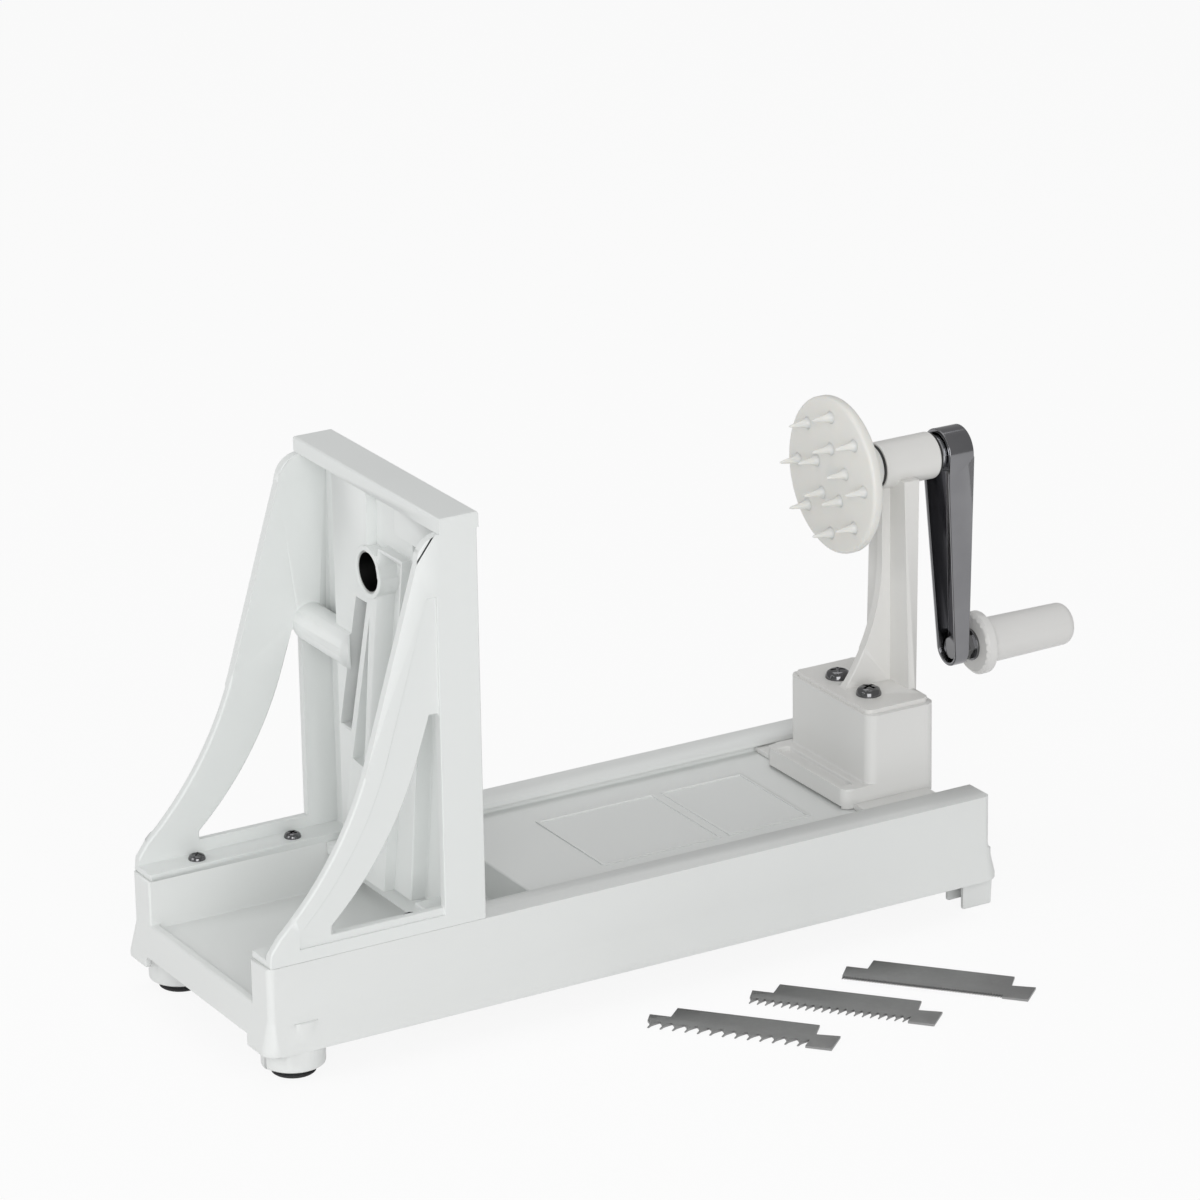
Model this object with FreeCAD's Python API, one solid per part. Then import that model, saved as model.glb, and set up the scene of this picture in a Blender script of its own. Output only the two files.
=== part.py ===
import FreeCAD, Part
import math
import os

# Hand cranked spiral slicer, in millimetres. X runs along the base from the blade end (-) to the
# crank end (+), Y across it, Z up from the table. Shapes are built about the middle of the base
# and shifted at the end, so that the origin lies under the middle of the whole set.

V = FreeCAD.Vector

# Base moulding
base_length = 340.0
base_width = 121.0
base_top = 50.0
rail_width = 15.5
shell_wall = 3.0
crease_drop = 21.5
skirt_flare = 3.0
flare_drop = 13.0
skirt_lip = 2.5
corner_round = 3.0
deck_drop = 5.3
deck_start = 132.5
deck_setback = 10.0
deck_field_inset = 38.5
deck_field_length = 57.0
deck_field_width = 56.0
deck_field_gap = 3.5
deck_second_length = 40.0
deck_line = 1.2
deck_rib_height = 0.6
floor_height = 29.0
end_bar_height = 31.0
end_bar_thickness = 4.0
end_notch_height = 18.0
slot_height = 2.6
slot_depth = 3.0
rail_skin = 2.0
boss_inset = 15.0
boss_side_inset = 10.5
boss_radius = 13.0
foot_height = 4.0
foot_radius = 9.0
foot_stem_radius = 3.0
foot_stem_length = 7.0
post_size = 14.0
post_wall = 2.5
post_side_inset = 9.3
post_end_inset = 5.0
post_root = 24.0
screw_boss_radius = 4.5
screw_boss_length = 12.0

# Upright blade frame
frame_setback = 98.0
frame_depth = 16.5
panel_thickness = 5.0
gusset_thickness = 4.0
frame_height = 172.0
cap_height = 6.4
cap_overhang = 0.6
frame_foot_thickness = 3.0
gusset_toe = 1.0
gusset_toe_height = 12.0
gusset_toe_run = 5.0
gusset_nose_run = 0.6
gusset_knee_x = 47.0
gusset_knee_height = 76.0
gusset_shoulder_x = 71.0
gusset_shoulder_height = 155.0
gusset_arc_sag = 5.0
gusset_bend_x = 2.5
gusset_bend_z = 6.5
window_band = 23.5
window_side = 2.0
window_sill = 8.5
window_top = 91.0
rim_band = 8.5
rim_depth = 1.0
rim_top = 140.0
block_half_width = 29.5
panel_clearance = 0.3
panel_drop = 18.0
foot_bar_height = 5.0

# Core tube and cutting slots of the panel, across Y and above the rails
crank_height = 131.8
core_radius = 8.7
core_bore = 8.1
core_ring_radius = 10.9
core_ring_proud = 0.8
core_stickout = 6.0
core_edge = 1.5
blade_slot_top = 118.0
blade_slot_bottom = 58.0
blade_slot_top_y = 7.0
blade_slot_bottom_y = 24.0
blade_slot_width = 9.0
blade_thickness = 1.2
blade_tilt = 28.0
blade_overlap = 4.0
blade_edge_proud = 0.8
comb_slot_top = 143.0
comb_slot_bottom = 58.0
comb_slot_top_y = -18.5
comb_slot_bottom_y = -5.0
comb_slot_width = 17.0
comb_slot_depth = 8.0
comb_gap = 2.0
comb_gap_inset = 3.0
comb_rim = 1.6
top_recess_width = 23.5
top_recess_depth = 4.5
top_recess_left_y = 0.5
step_top = 154.5
step_low = 68.0
step_low_inset = 10.5
wedge_top = 112.0
wedge_bottom = 45.0
wedge_bottom_y = 14.0
wedge_width = 10.0
wedge_tip_y = 0.5
wedge_depth = 5.0
knob_radius = 8.0
knob_height = 38.8
knob_inner_y = 16.0

# Fasteners
frame_screw_radius = 1.75
frame_screw_length = 10.0
frame_head_radius = 3.6
frame_head_height = 2.2
frame_screw_first = 25.0
frame_screw_second = 69.0
frame_screw_inset = 9.7
bracket_screw_radius = 2.5
bracket_screw_length = 14.0
bracket_head_radius = 5.4
bracket_head_height = 3.6
bracket_screw_spacing = 24.0
bracket_screw_setback = 12.5
recess_arm = 0.58
recess_half_width = 0.14
recess_depth_share = 0.45

# Sliding carriage
carriage_setback = 42.0
carriage_length = 33.5
carriage_width = 63.0
carriage_height = 39.3
carriage_wall = 3.0
carriage_corner = 4.5
carriage_flange = 12.0
flange_height = 8.8
flange_groove_width = 5.5
flange_groove_depth = 2.0
flange_groove_length = 50.0
flange_groove_shift = 0.6
tongue_thickness = 2.0
tongue_reach = 2.4
slide_clearance = 0.3
underside_relief = 1.0

# Crank bracket
plate_margin = 1.4
plate_thickness = 1.8
plate_corner = 3.0
fin_thickness = 4.0
fin_toe = 7.0
fin_top_x = 25.7
fin_curve_height = 58.0
fin_bulge_share = 0.71
fin_bulge_rise = 0.42
post_front = 29.6
post_foot_depth = 3.6
post_top_depth = 7.4
post_foot_width = 33.4
post_top_width = 26.0
post_drop = 4.8
tube_radius = 10.0
tube_start = 23.5
tube_length = 27.0

# Crank shaft, bushes, washers and disc
shaft_radius = 4.0
bush_radius = 6.5
bush_length = 8.0
shaft_clearance = 0.06
washer_thickness = 1.2
washer_radius = 9.4
face_gap = 0.05
disc_face = 1.5
disc_radius = 33.4
disc_thickness = 4.8
disc_skin = 2.0
disc_edge_round = 1.0
hub_radius = 9.2
hub_root_radius = 11.5
hub_root_length = 4.0
outer_spikes = 8
outer_spike_ring = 25.4
inner_spikes = 5
inner_spike_ring = 11.6
spike_length = 9.0
spike_root_radius = 1.9
spike_tip_radius = 0.5
spike_root_depth = 0.5

# Crank arm and handle
crank_throw = 89.0
arm_sheet = 1.6
arm_top_radius = 10.6
arm_bottom_radius = 7.4
arm_top_depth = 12.0
arm_bottom_depth = 6.0
arm_gap = 2.4
boss_turn_radius = 8.2
nut_flats = 10.0
nut_height = 2.2
stud_beyond_nut = 0.6
bolt_radius = 3.0
bolt_head_radius = 5.2
bolt_head_height = 3.2
handle_washer_radius = 7.0
handle_nut_flats = 11.0
handle_nut_height = 4.6
grip_flange_radius = 13.6
grip_flange_length = 6.5
grip_radius = 9.8
grip_end_radius = 9.2
grip_length = 49.0
grip_nose = 4.0
grip_root_step = 0.4
grip_clearance = 0.07
grip_bore_depth = 34.0

# Loose comb blades on the table
comb_back_length = 60.0
comb_back_width = 9.0
comb_edge_length = 80.0
comb_tooth_zone = 12.0
comb_lead = 9.0
comb_tab_length = 11.0
comb_sheet = 1.0
comb_step = 1.0
comb_root_overlap = 0.2
comb_tip_start = 0.25
comb_tip_end = 0.45
comb_tooth_end = 0.7
comb_turn = -48.7
comb_coarse_teeth = 13
comb_coarse_tooth = 6.0
comb_medium_teeth = 20
comb_medium_tooth = 5.0
comb_fine_teeth = 58
comb_fine_tooth = 2.2
comb_coarse_place = (3.5, -82.0)
comb_medium_place = (51.0, -84.0)
comb_fine_place = (96.5, -84.0)

# Places that follow from the sizes above
base_end = base_length / 2
half_width = base_width / 2
rail_inner = half_width - rail_width
deck_top = base_top - deck_drop
deck_x = deck_start - base_end
deck_end = base_end - deck_setback
frame_back = frame_setback - base_end
frame_front = frame_back - frame_depth
panel_front = frame_back - panel_thickness
axis_z = base_top + crank_height
block_x0 = base_end - carriage_setback
block_x1 = block_x0 + carriage_length
block_top = deck_top + slide_clearance + carriage_height
plate_top = block_top + plate_thickness
tube_x0 = block_x0 + tube_start
tube_x1 = tube_x0 + tube_length
disc_x0 = block_x0 + disc_face
disc_x1 = disc_x0 + disc_thickness
shaft_x0 = disc_x0 + disc_skin
arm_x0 = tube_x1 + washer_thickness + face_gap + arm_gap
arm_x1 = arm_x0 + arm_top_depth
handle_z = axis_z - crank_throw
grip_x0 = arm_x1 + handle_nut_height + washer_thickness + face_gap
grip_x1 = grip_x0 + grip_length


def box(x0, x1, y0, y1, z0, z1):
    return Part.makeBox(x1 - x0, y1 - y0, z1 - z0, V(x0, y0, z0))


def rod_x(x0, x1, y, z, radius):
    return Part.makeCylinder(radius, x1 - x0, V(x0, y, z), V(1, 0, 0))


def rod_z(x, y, z0, z1, radius):
    return Part.makeCylinder(radius, z1 - z0, V(x, y, z0), V(0, 0, 1))


def prism(points, direction):
    wire = Part.makePolygon(points + [points[0]])
    return Part.Face(wire).extrude(direction)


def outline_prism(edges, direction):
    return Part.Face(Part.Wire(edges)).extrude(direction)


def join(shapes):
    return shapes[0].multiFuse(shapes[1:]).removeSplitter()


def both_sides(shape):
    return [shape, shape.mirror(V(0, 0, 0), V(0, 1, 0))]


def rounded_rectangle(half_x, half_y, z, radius):
    # closed wire with four straight sides and four quarter circles, about the Z axis
    edges = []
    for quarter in range(4):
        angle = math.radians(90 * quarter)
        near = half_x if quarter % 2 == 0 else half_y
        side = half_y if quarter % 2 == 0 else half_x
        along = V(math.cos(angle), math.sin(angle), 0)
        across = V(-math.sin(angle), math.cos(angle), 0)
        start = along * near - across * (side - radius) + V(0, 0, z)
        end = along * near + across * (side - radius) + V(0, 0, z)
        centre = along * (near - radius) + across * (side - radius) + V(0, 0, z)
        bend = centre + (along + across).normalize() * radius
        turn = centre + across * radius
        edges += [Part.LineSegment(start, end).toShape(), Part.Arc(end, bend, turn).toShape()]
    return Part.Wire(edges)


def rounded_box(x0, x1, half_y, z0, z1, radius):
    shape = box(x0, x1, -half_y, half_y, z0, z1)
    upright = [e for e in shape.Edges if abs(e.tangentAt(e.FirstParameter).z) > 0.99]
    return shape.makeFillet(radius, upright)


def cross_recess(head, radius, height, top, turn):
    # a cross slot sunk in a screw head that points along +Z
    arm = radius * recess_arm
    half = radius * recess_half_width
    floor = top - height * recess_depth_share
    slot = box(-arm, arm, -half, half, floor, top + height)
    other = slot.copy()
    other.rotate(V(0, 0, 0), V(0, 0, 1), 90)
    tool = slot.fuse(other)
    tool.rotate(V(0, 0, 0), V(0, 0, 1), turn)
    return head.cut(tool)


def pan_screw(radius, length, head_radius, head_height, turn):
    # the head stands on z = 0 with its shank below
    dome_radius = (head_radius ** 2 + head_height ** 2) / (2 * head_height)
    dome = Part.makeSphere(dome_radius, V(0, 0, head_height - dome_radius))
    head = dome.common(rod_z(0, 0, 0, head_height, head_radius))
    head = cross_recess(head, head_radius, head_height, head_height, turn)
    return head.fuse(rod_z(0, 0, -length, 0, radius)).removeSplitter()


def hex_nut(x0, height, y, z, flats, bore):
    corner = flats / math.sqrt(3)
    points = []
    for side in range(6):
        angle = math.radians(60 * side)
        points.append(V(x0, y + corner * math.cos(angle), z + corner * math.sin(angle)))
    nut = prism(points, V(height, 0, 0))
    return nut.cut(rod_x(x0, x0 + height, y, z, bore))


# Base: one moulding, open underneath, with the feet posts and the bosses for the rubber feet

def skirt_solid(inset):
    half_x = base_end - inset
    half_y = half_width - inset
    crease = base_top - crease_drop
    flare_end = crease - flare_drop
    bottom = flare_end - skirt_lip
    top = base_top - inset
    radius = max(corner_round - inset, 0.5)
    narrow = rounded_rectangle(half_x, half_y, crease, radius)
    wide = rounded_rectangle(half_x + skirt_flare, half_y + skirt_flare, flare_end, radius + skirt_flare)
    straight = Part.Face(narrow).extrude(V(0, 0, top - crease))
    flare = Part.makeLoft([narrow, wide], True, True)
    lip = Part.Face(wide).extrude(V(0, 0, bottom - (1 if inset else 0) - flare_end))
    return join([straight, flare, lip])


def base_hollow():
    # the space under the well, the deck and the two rails
    inner = skirt_solid(shell_wall)
    past = base_end + skirt_flare
    side = rail_inner + slot_depth + rail_skin
    well = box(-past, deck_x + shell_wall, -side, side, floor_height - shell_wall, base_top)
    deck = box(deck_x, past, -side, side, deck_top - shell_wall, base_top)
    end_face = box(deck_end - shell_wall, past, -side, side, 0, base_top)
    return inner.cut(well).cut(deck).cut(end_face)


def base_body():
    past = base_end + skirt_flare + 1
    body = skirt_solid(0).cut(base_hollow())
    deck_room = box(deck_x, past, -rail_inner, rail_inner, deck_top, base_top + 1)
    bar_x = -base_end + end_bar_thickness
    well_room = box(bar_x, deck_x, -rail_inner, rail_inner, floor_height, base_top + 1)
    bar_room = box(-past, bar_x, -rail_inner, rail_inner, end_bar_height, base_top + 1)
    end_room = box(deck_end, past, -rail_inner, rail_inner, 0, base_top + 1)
    notch = box(-past, bar_x, -rail_inner, rail_inner, 0, end_notch_height)
    body = body.cut(deck_room).cut(well_room).cut(bar_room).cut(end_room).cut(notch)
    slot = box(frame_back, base_end - shell_wall, rail_inner - 1, rail_inner + slot_depth,
               deck_top, deck_top + slot_height)
    for side in both_sides(slot):
        body = body.cut(side)
    boss_x = -base_end + boss_inset
    boss_y = half_width - boss_side_inset
    boss = rod_z(boss_x, boss_y, foot_height, base_top - shell_wall / 2, boss_radius)
    inside = skirt_solid(0).fuse(rod_z(boss_x, boss_y, foot_height, base_top / 2, boss_radius))
    boss = boss.common(inside).cut(box(-base_end, 0, 0, rail_inner, floor_height - 1, base_top))
    boss = boss.cut(rod_z(boss_x, boss_y, 0, foot_height + foot_stem_length, foot_stem_radius))
    post_x = base_end - post_end_inset
    post_y = half_width - post_side_inset
    half = post_size / 2
    post = box(post_x - half, post_x + half, post_y - half, post_y + half, 0, post_root)
    hole = box(post_x - half - 1, post_x + half - post_wall, post_y - half + post_wall,
               post_y + half - post_wall, 0, post_root)
    below = box(0, past, 0, base_width, 0, base_top - crease_drop - flare_drop)
    post = post.cut(hole).common(skirt_solid(0).fuse(below))
    bridge = box(post_x - half, base_end, post_y - half, half_width, post_root - 1, post_root + shell_wall)
    bosses = [rod_z(x, y, base_top - screw_boss_length, base_top, screw_boss_radius)
              for x, y in frame_screw_places()]
    body = join([body] + both_sides(boss) + both_sides(post) + both_sides(bridge) + bosses + deck_ribs())
    for x, y in frame_screw_places():
        body = body.cut(rod_z(x, y, base_top - screw_boss_length, base_top, frame_screw_radius))
    return body


def deck_ribs():
    # two plain raised frames on the deck, side by side
    half = deck_field_width / 2
    z0 = deck_top - 1
    z1 = deck_top + deck_rib_height
    x0 = deck_x + deck_field_inset
    frames = []
    for length in (deck_field_length, deck_second_length):
        outer = box(x0, x0 + length, -half, half, z0, z1)
        inner = box(x0 + deck_line, x0 + length - deck_line, -half + deck_line, half - deck_line, z0, z1)
        frames.append(outer.cut(inner))
        x0 += length + deck_field_gap
    return frames


def suction_feet():
    foot_x = -base_end + boss_inset
    foot_y = half_width - boss_side_inset
    cup = Part.makeCone(foot_radius, foot_radius - 2, foot_height, V(foot_x, foot_y, 0), V(0, 0, 1))
    stem = rod_z(foot_x, foot_y, foot_height, foot_height + foot_stem_length, foot_stem_radius)
    return Part.makeCompound(both_sides(cup.fuse(stem).removeSplitter()))


# Upright frame: panel, two gussets with windows and foot flanges, top cap

def place_xz(x, z, y):
    return V(x - base_end, y, base_top + z)


def gusset_curve(shift, y, toe_height, top_height):
    # the hollow curve from the toe up to the shoulder, moved by shift towards the panel
    slope = (gusset_shoulder_x - gusset_knee_x) / (gusset_shoulder_height - gusset_knee_height)
    toe = place_xz(gusset_toe + gusset_toe_run + shift, toe_height, y)
    knee = place_xz(gusset_knee_x + shift, gusset_knee_height, y)
    chord = knee - toe
    across = V(chord.z, 0, -chord.x).normalize()
    middle = (toe + knee) * 0.5 + across * gusset_arc_sag
    top_x = gusset_shoulder_x + shift + slope * (top_height - gusset_shoulder_height)
    top = place_xz(top_x, top_height, y)
    return [Part.Arc(toe, middle, knee).toShape(), Part.LineSegment(knee, top).toShape()], toe, top


def gusset():
    y0 = half_width - gusset_thickness
    curve, toe, shoulder = gusset_curve(0, y0, gusset_toe_height, gusset_shoulder_height)
    start = place_xz(gusset_toe, 0, y0)
    nose = place_xz(gusset_toe + gusset_nose_run, gusset_toe_height / 2, y0)
    cap_front = V(frame_front, y0, base_top + frame_height - cap_height)
    back_top = V(frame_back, y0, base_top + frame_height - cap_height)
    back_foot = V(frame_back, y0, base_top)
    bend = shoulder + V(gusset_bend_x, 0, gusset_bend_z)
    edges = [Part.LineSegment(start, nose).toShape(), Part.LineSegment(nose, toe).toShape()] + curve
    edges += [Part.Arc(shoulder, bend, cap_front).toShape(), Part.LineSegment(cap_front, back_top).toShape()]
    edges += [Part.LineSegment(back_top, back_foot).toShape(), Part.LineSegment(back_foot, start).toShape()]
    plate = outline_prism(edges, V(0, gusset_thickness, 0))
    plate = plate.cut(gusset_opening(window_band, window_sill, window_top, y0 - 1, gusset_thickness + 2))
    rim = gusset_opening(rim_band, window_sill - 3, rim_top, half_width - rim_depth, rim_depth + 1)
    return plate.cut(rim)


def gusset_opening(band, sill, top, y, depth):
    curve, toe, head = gusset_curve(band, y, max(sill, gusset_toe_height), top)
    right = frame_front - window_side
    sill_z = base_top + sill
    right = max(right, head.x + 1)
    points = [head, V(right, y, head.z), V(right, y, sill_z), V(toe.x, y, sill_z), toe]
    edges = [Part.LineSegment(a, b).toShape() for a, b in zip(points, points[1:]) if (a - b).Length > 0.01]
    return outline_prism(curve + edges, V(0, depth, 0))


def slanted_quad(x, top_y, bottom_y, top, bottom, width):
    z1 = base_top + top
    z0 = base_top + bottom
    half = width / 2
    upper = [V(x, top_y - half, z1), V(x, top_y + half, z1)]
    return upper + [V(x, bottom_y + half, z0), V(x, bottom_y - half, z0)]


def blade_line():
    # unit vector down the straight blade's slot, and its middle at the panel's back face
    top = V(frame_back, blade_slot_top_y, base_top + blade_slot_top)
    bottom = V(frame_back, blade_slot_bottom_y, base_top + blade_slot_bottom)
    return (bottom - top).normalize(), (top + bottom) * 0.5, (bottom - top).Length


def blade_blank():
    # strip tilted about its own long side, with its cutting edge just proud of the back face
    along, middle, length = blade_line()
    width = blade_slot_width + blade_overlap
    half = length / 2 + blade_overlap
    strip = box(-width, 0, -blade_thickness / 2, blade_thickness / 2, -half, half)
    strip.rotate(V(0, 0, 0), V(0, 0, 1), -90 + blade_tilt)
    lean = math.degrees(math.atan2(along.y, -along.z))
    strip.rotate(V(0, 0, 0), V(1, 0, 0), lean)
    edge = middle + V(blade_edge_proud, -blade_slot_width / 2, 0)
    strip.translate(edge)
    return strip


def blade_frame():
    top = base_top + frame_height
    side = half_width - gusset_thickness
    panel = box(panel_front, frame_back, -side, side, base_top, top - cap_height)
    reach = rail_inner - panel_clearance
    skirt = box(panel_front, frame_back, -reach, reach, base_top - panel_drop, base_top)
    bar = box(frame_front, frame_back, -reach, reach, base_top - foot_bar_height, base_top)
    block = box(frame_front, panel_front, -block_half_width, block_half_width,
                base_top - foot_bar_height, top - cap_height)
    shoulder = box(frame_front, panel_front, -side, -block_half_width, base_top + step_top, top - cap_height)
    cap = box(frame_front - cap_overhang, frame_back + cap_overhang, -half_width - cap_overhang,
              half_width + cap_overhang, top - cap_height, top)
    foot = box(gusset_toe - base_end, frame_back, rail_inner, half_width - gusset_thickness,
               base_top, base_top + frame_foot_thickness)
    knob = rod_x(0, side - knob_inner_y, 0, 0, knob_radius)
    knob.rotate(V(0, 0, 0), V(0, 0, 1), 90)
    knob.translate(V(frame_front + knob_radius / 4, knob_inner_y, axis_z - knob_height))
    knob = knob.cut(box(panel_front, frame_back + knob_radius, 0, half_width, base_top, top))
    ring = rod_x(frame_front - core_ring_proud, frame_back, 0, axis_z, core_ring_radius)
    middle = [panel, skirt, bar, block, shoulder, cap, ring, knob]
    frame = join(middle + both_sides(foot) + both_sides(gusset()))
    return cut_slots(frame)


def cut_slots(frame):
    top = base_top + frame_height
    deep = frame_back + 1
    left = top_recess_left_y
    recess = box(frame_front - 1, frame_front + top_recess_depth, left - top_recess_width, left,
                 axis_z + core_ring_radius - 2, top - cap_height)
    ring_keep = rod_x(frame_front - 2, frame_back, 0, axis_z, core_ring_radius)
    comb = prism(slanted_quad(frame_front - 1, comb_slot_top_y, comb_slot_bottom_y, comb_slot_top,
                              comb_slot_bottom, comb_slot_width), V(comb_slot_depth + 1, 0, 0))
    comb_rims = prism(slanted_quad(frame_front, comb_slot_top_y, comb_slot_bottom_y, comb_slot_top + comb_rim,
                                   comb_slot_bottom, comb_slot_width + 2 * comb_rim),
                      V(comb_slot_depth, 0, 0))
    gap_shift = comb_slot_width / 2 - comb_gap / 2
    gap = prism(slanted_quad(frame_front - 1, comb_slot_top_y - gap_shift, comb_slot_bottom_y - gap_shift,
                             comb_slot_top - comb_gap_inset, comb_slot_bottom + 1, comb_gap),
                V(deep - frame_front, 0, 0))
    wedge_z = base_top + wedge_bottom
    wedge = prism([V(frame_front - 1, wedge_tip_y, base_top + wedge_top),
                   V(frame_front - 1, wedge_bottom_y + wedge_width / 2, wedge_z),
                   V(frame_front - 1, wedge_bottom_y - wedge_width / 2, wedge_z)], V(wedge_depth + 1, 0, 0))
    slot = prism(slanted_quad(frame_front - 1, blade_slot_top_y, blade_slot_bottom_y, blade_slot_top,
                              blade_slot_bottom, blade_slot_width), V(deep - frame_front + 1, 0, 0))
    frame = frame.cut(recess.cut(ring_keep).cut(comb_rims)).cut(side_step().cut(comb_rims))
    frame = frame.cut(comb.cut(ring_keep)).cut(gap).cut(wedge).cut(slot)
    frame = frame.cut(blade_blank())
    frame = frame.cut(rod_x(frame_front - 2, deep, 0, axis_z, core_radius))
    for x, y in frame_screw_places():
        frame = frame.cut(rod_z(x, y, base_top - 1, base_top + frame_foot_thickness + 1, frame_screw_radius))
    return frame


def side_step():
    # shallow step of the middle block beside the comb slot, and its slanted lower side
    half = comb_slot_width / 2 + comb_rim
    slope = (comb_slot_bottom_y - comb_slot_top_y) / (comb_slot_top - comb_slot_bottom)
    low = -foot_bar_height - 1
    top_y = comb_slot_top_y - half - slope * comb_rim
    low_y = comb_slot_top_y - half + slope * (comb_slot_top - low)
    outside = -block_half_width - 1
    inside = top_recess_left_y - top_recess_width + 0.5
    places = [(outside, step_top), (inside, step_top), (inside, comb_slot_top + comb_rim),
              (top_y, comb_slot_top + comb_rim), (low_y, low), (outside, low)]
    points = [V(frame_front - 1, y, base_top + z) for y, z in places]
    step = prism(points, V(top_recess_depth + 1, 0, 0))
    corner = [(outside, step_low), (-block_half_width, step_low), (-block_half_width + step_low_inset, low),
              (outside, low)]
    slant = prism([V(frame_front - 1, y, base_top + z) for y, z in corner],
                  V(frame_depth - panel_thickness + 1, 0, 0))
    return step.fuse(slant)


def frame_screw_places():
    y = half_width - frame_screw_inset
    places = []
    for x in (frame_screw_first, frame_screw_second):
        places += [(x - base_end, y), (x - base_end, -y)]
    return places


def frame_screws():
    screws = []
    for index, (x, y) in enumerate(frame_screw_places()):
        screw = pan_screw(frame_screw_radius, frame_screw_length, frame_head_radius,
                          frame_head_height, 25 * index)
        screw.translate(V(x, y, base_top + frame_foot_thickness))
        screws.append(screw)
    return Part.makeCompound(screws)


def core_tube():
    end = frame_back + core_stickout
    tube = rod_x(frame_front, end, 0, axis_z, core_radius)
    edge = Part.makeCone(core_radius, core_bore, core_edge, V(end - core_edge, 0, axis_z), V(1, 0, 0))
    ring = rod_x(end - core_edge, end, 0, axis_z, core_radius + 1).cut(edge)
    return tube.cut(ring).cut(rod_x(frame_front - 1, end + 1, 0, axis_z, core_bore))


def main_blade():
    return blade_blank()


# Carriage: block with a front flange, hollow underneath, held by tongues in the slots of the rails

def carriage():
    z0 = deck_top + slide_clearance
    half = carriage_width / 2
    block = rounded_box(block_x0, block_x1, half, z0, block_top, carriage_corner)
    flange_x0 = block_x0 - carriage_flange
    flange = rounded_box(flange_x0, block_x1, half, z0, z0 + flange_height, carriage_corner)
    middle = block_x0 - carriage_flange / 2 - flange_groove_shift
    groove = box(middle - flange_groove_width / 2, middle + flange_groove_width / 2,
                 -flange_groove_length / 2, flange_groove_length / 2,
                 z0 + flange_height - flange_groove_depth, z0 + flange_height + 1)
    reach = rail_inner + tongue_reach
    tongue = box(flange_x0 + carriage_corner, block_x1 - carriage_corner, -reach, reach,
                 z0, z0 + tongue_thickness)
    body = join([block, flange, tongue])
    wall = carriage_wall
    room = box(block_x0 + wall, block_x1 - wall, -half + wall, half - wall, z0 - 1, block_top - wall)
    relief = box(flange_x0 - 1, block_x1 + 1, -half + wall, half - wall, z0, z0 + underside_relief)
    body = body.cut(groove).cut(room).cut(relief)
    towers = []
    for y in bracket_screw_ys():
        towers.append(rod_z(bracket_screw_x(), y, z0 + flange_height, block_top - wall / 2,
                            bracket_screw_radius + wall))
    body = join([body] + towers)
    for y in bracket_screw_ys():
        body = body.cut(rod_z(bracket_screw_x(), y, block_top - bracket_screw_length - 1, block_top + 1,
                              bracket_screw_radius))
    return body


# Crank bracket: plate, fin and tapering post under a horizontal bearing tube

def bracket_screw_x():
    return block_x0 + bracket_screw_setback


def bracket_screw_ys():
    return (-bracket_screw_spacing / 2, bracket_screw_spacing / 2)


def post_section(depth, width, z):
    x0 = block_x0 + post_front
    half = width / 2
    corners = [V(x0, -half, z), V(x0 + depth, -half, z), V(x0 + depth, half, z), V(x0, half, z)]
    return Part.makePolygon(corners + [corners[0]])


def crank_bracket():
    plate = rounded_box(block_x0 + plate_margin, block_x1 - plate_margin,
                        carriage_width / 2 - 2 * plate_margin, block_top, plate_top, plate_corner)
    post = Part.makeLoft([post_section(post_foot_depth, post_foot_width, block_top),
                          post_section(post_top_depth, post_top_width, axis_z - post_drop)], True, True)
    y0 = -fin_thickness / 2
    foot = V(block_x0 + fin_toe, y0, plate_top)
    waist = V(block_x0 + fin_top_x, y0, plate_top + fin_curve_height)
    head = V(waist.x, y0, axis_z)
    bulge_x = foot.x + (waist.x - foot.x) * fin_bulge_share
    bulge = V(bulge_x, y0, plate_top + fin_curve_height * fin_bulge_rise)
    inner_head = V(block_x0 + post_front + 1, y0, axis_z)
    inner_foot = V(block_x0 + post_front + 1, y0, plate_top)
    edges = [Part.Arc(foot, bulge, waist).toShape(), Part.LineSegment(waist, head).toShape(),
             Part.LineSegment(head, inner_head).toShape(), Part.LineSegment(inner_head, inner_foot).toShape(),
             Part.LineSegment(inner_foot, foot).toShape()]
    fin = outline_prism(edges, V(0, fin_thickness, 0))
    tube = rod_x(tube_x0, tube_x1, 0, axis_z, tube_radius)
    body = join([plate, post, fin, tube])
    body = body.cut(rod_x(block_x0, tube_x1 + 1, 0, axis_z, bush_radius))
    for y in bracket_screw_ys():
        body = body.cut(rod_z(bracket_screw_x(), y, block_top - 1, plate_top + 1, bracket_screw_radius))
    return body


def bracket_screws():
    screws = []
    for index, y in enumerate(bracket_screw_ys()):
        screw = pan_screw(bracket_screw_radius, bracket_screw_length, bracket_head_radius,
                          bracket_head_height, 20 + 35 * index)
        screw.translate(V(bracket_screw_x(), y, plate_top))
        screws.append(screw)
    return Part.makeCompound(screws)


def bush(x0):
    ring = rod_x(x0, x0 + bush_length, 0, axis_z, bush_radius)
    return ring.cut(rod_x(x0 - 1, x0 + bush_length + 1, 0, axis_z, shaft_radius + shaft_clearance))


# Turning parts: shaft, disc, washers, arm

def crank_shaft():
    return rod_x(shaft_x0, arm_x1 + nut_height + stud_beyond_nut, 0, axis_z, shaft_radius)


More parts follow.
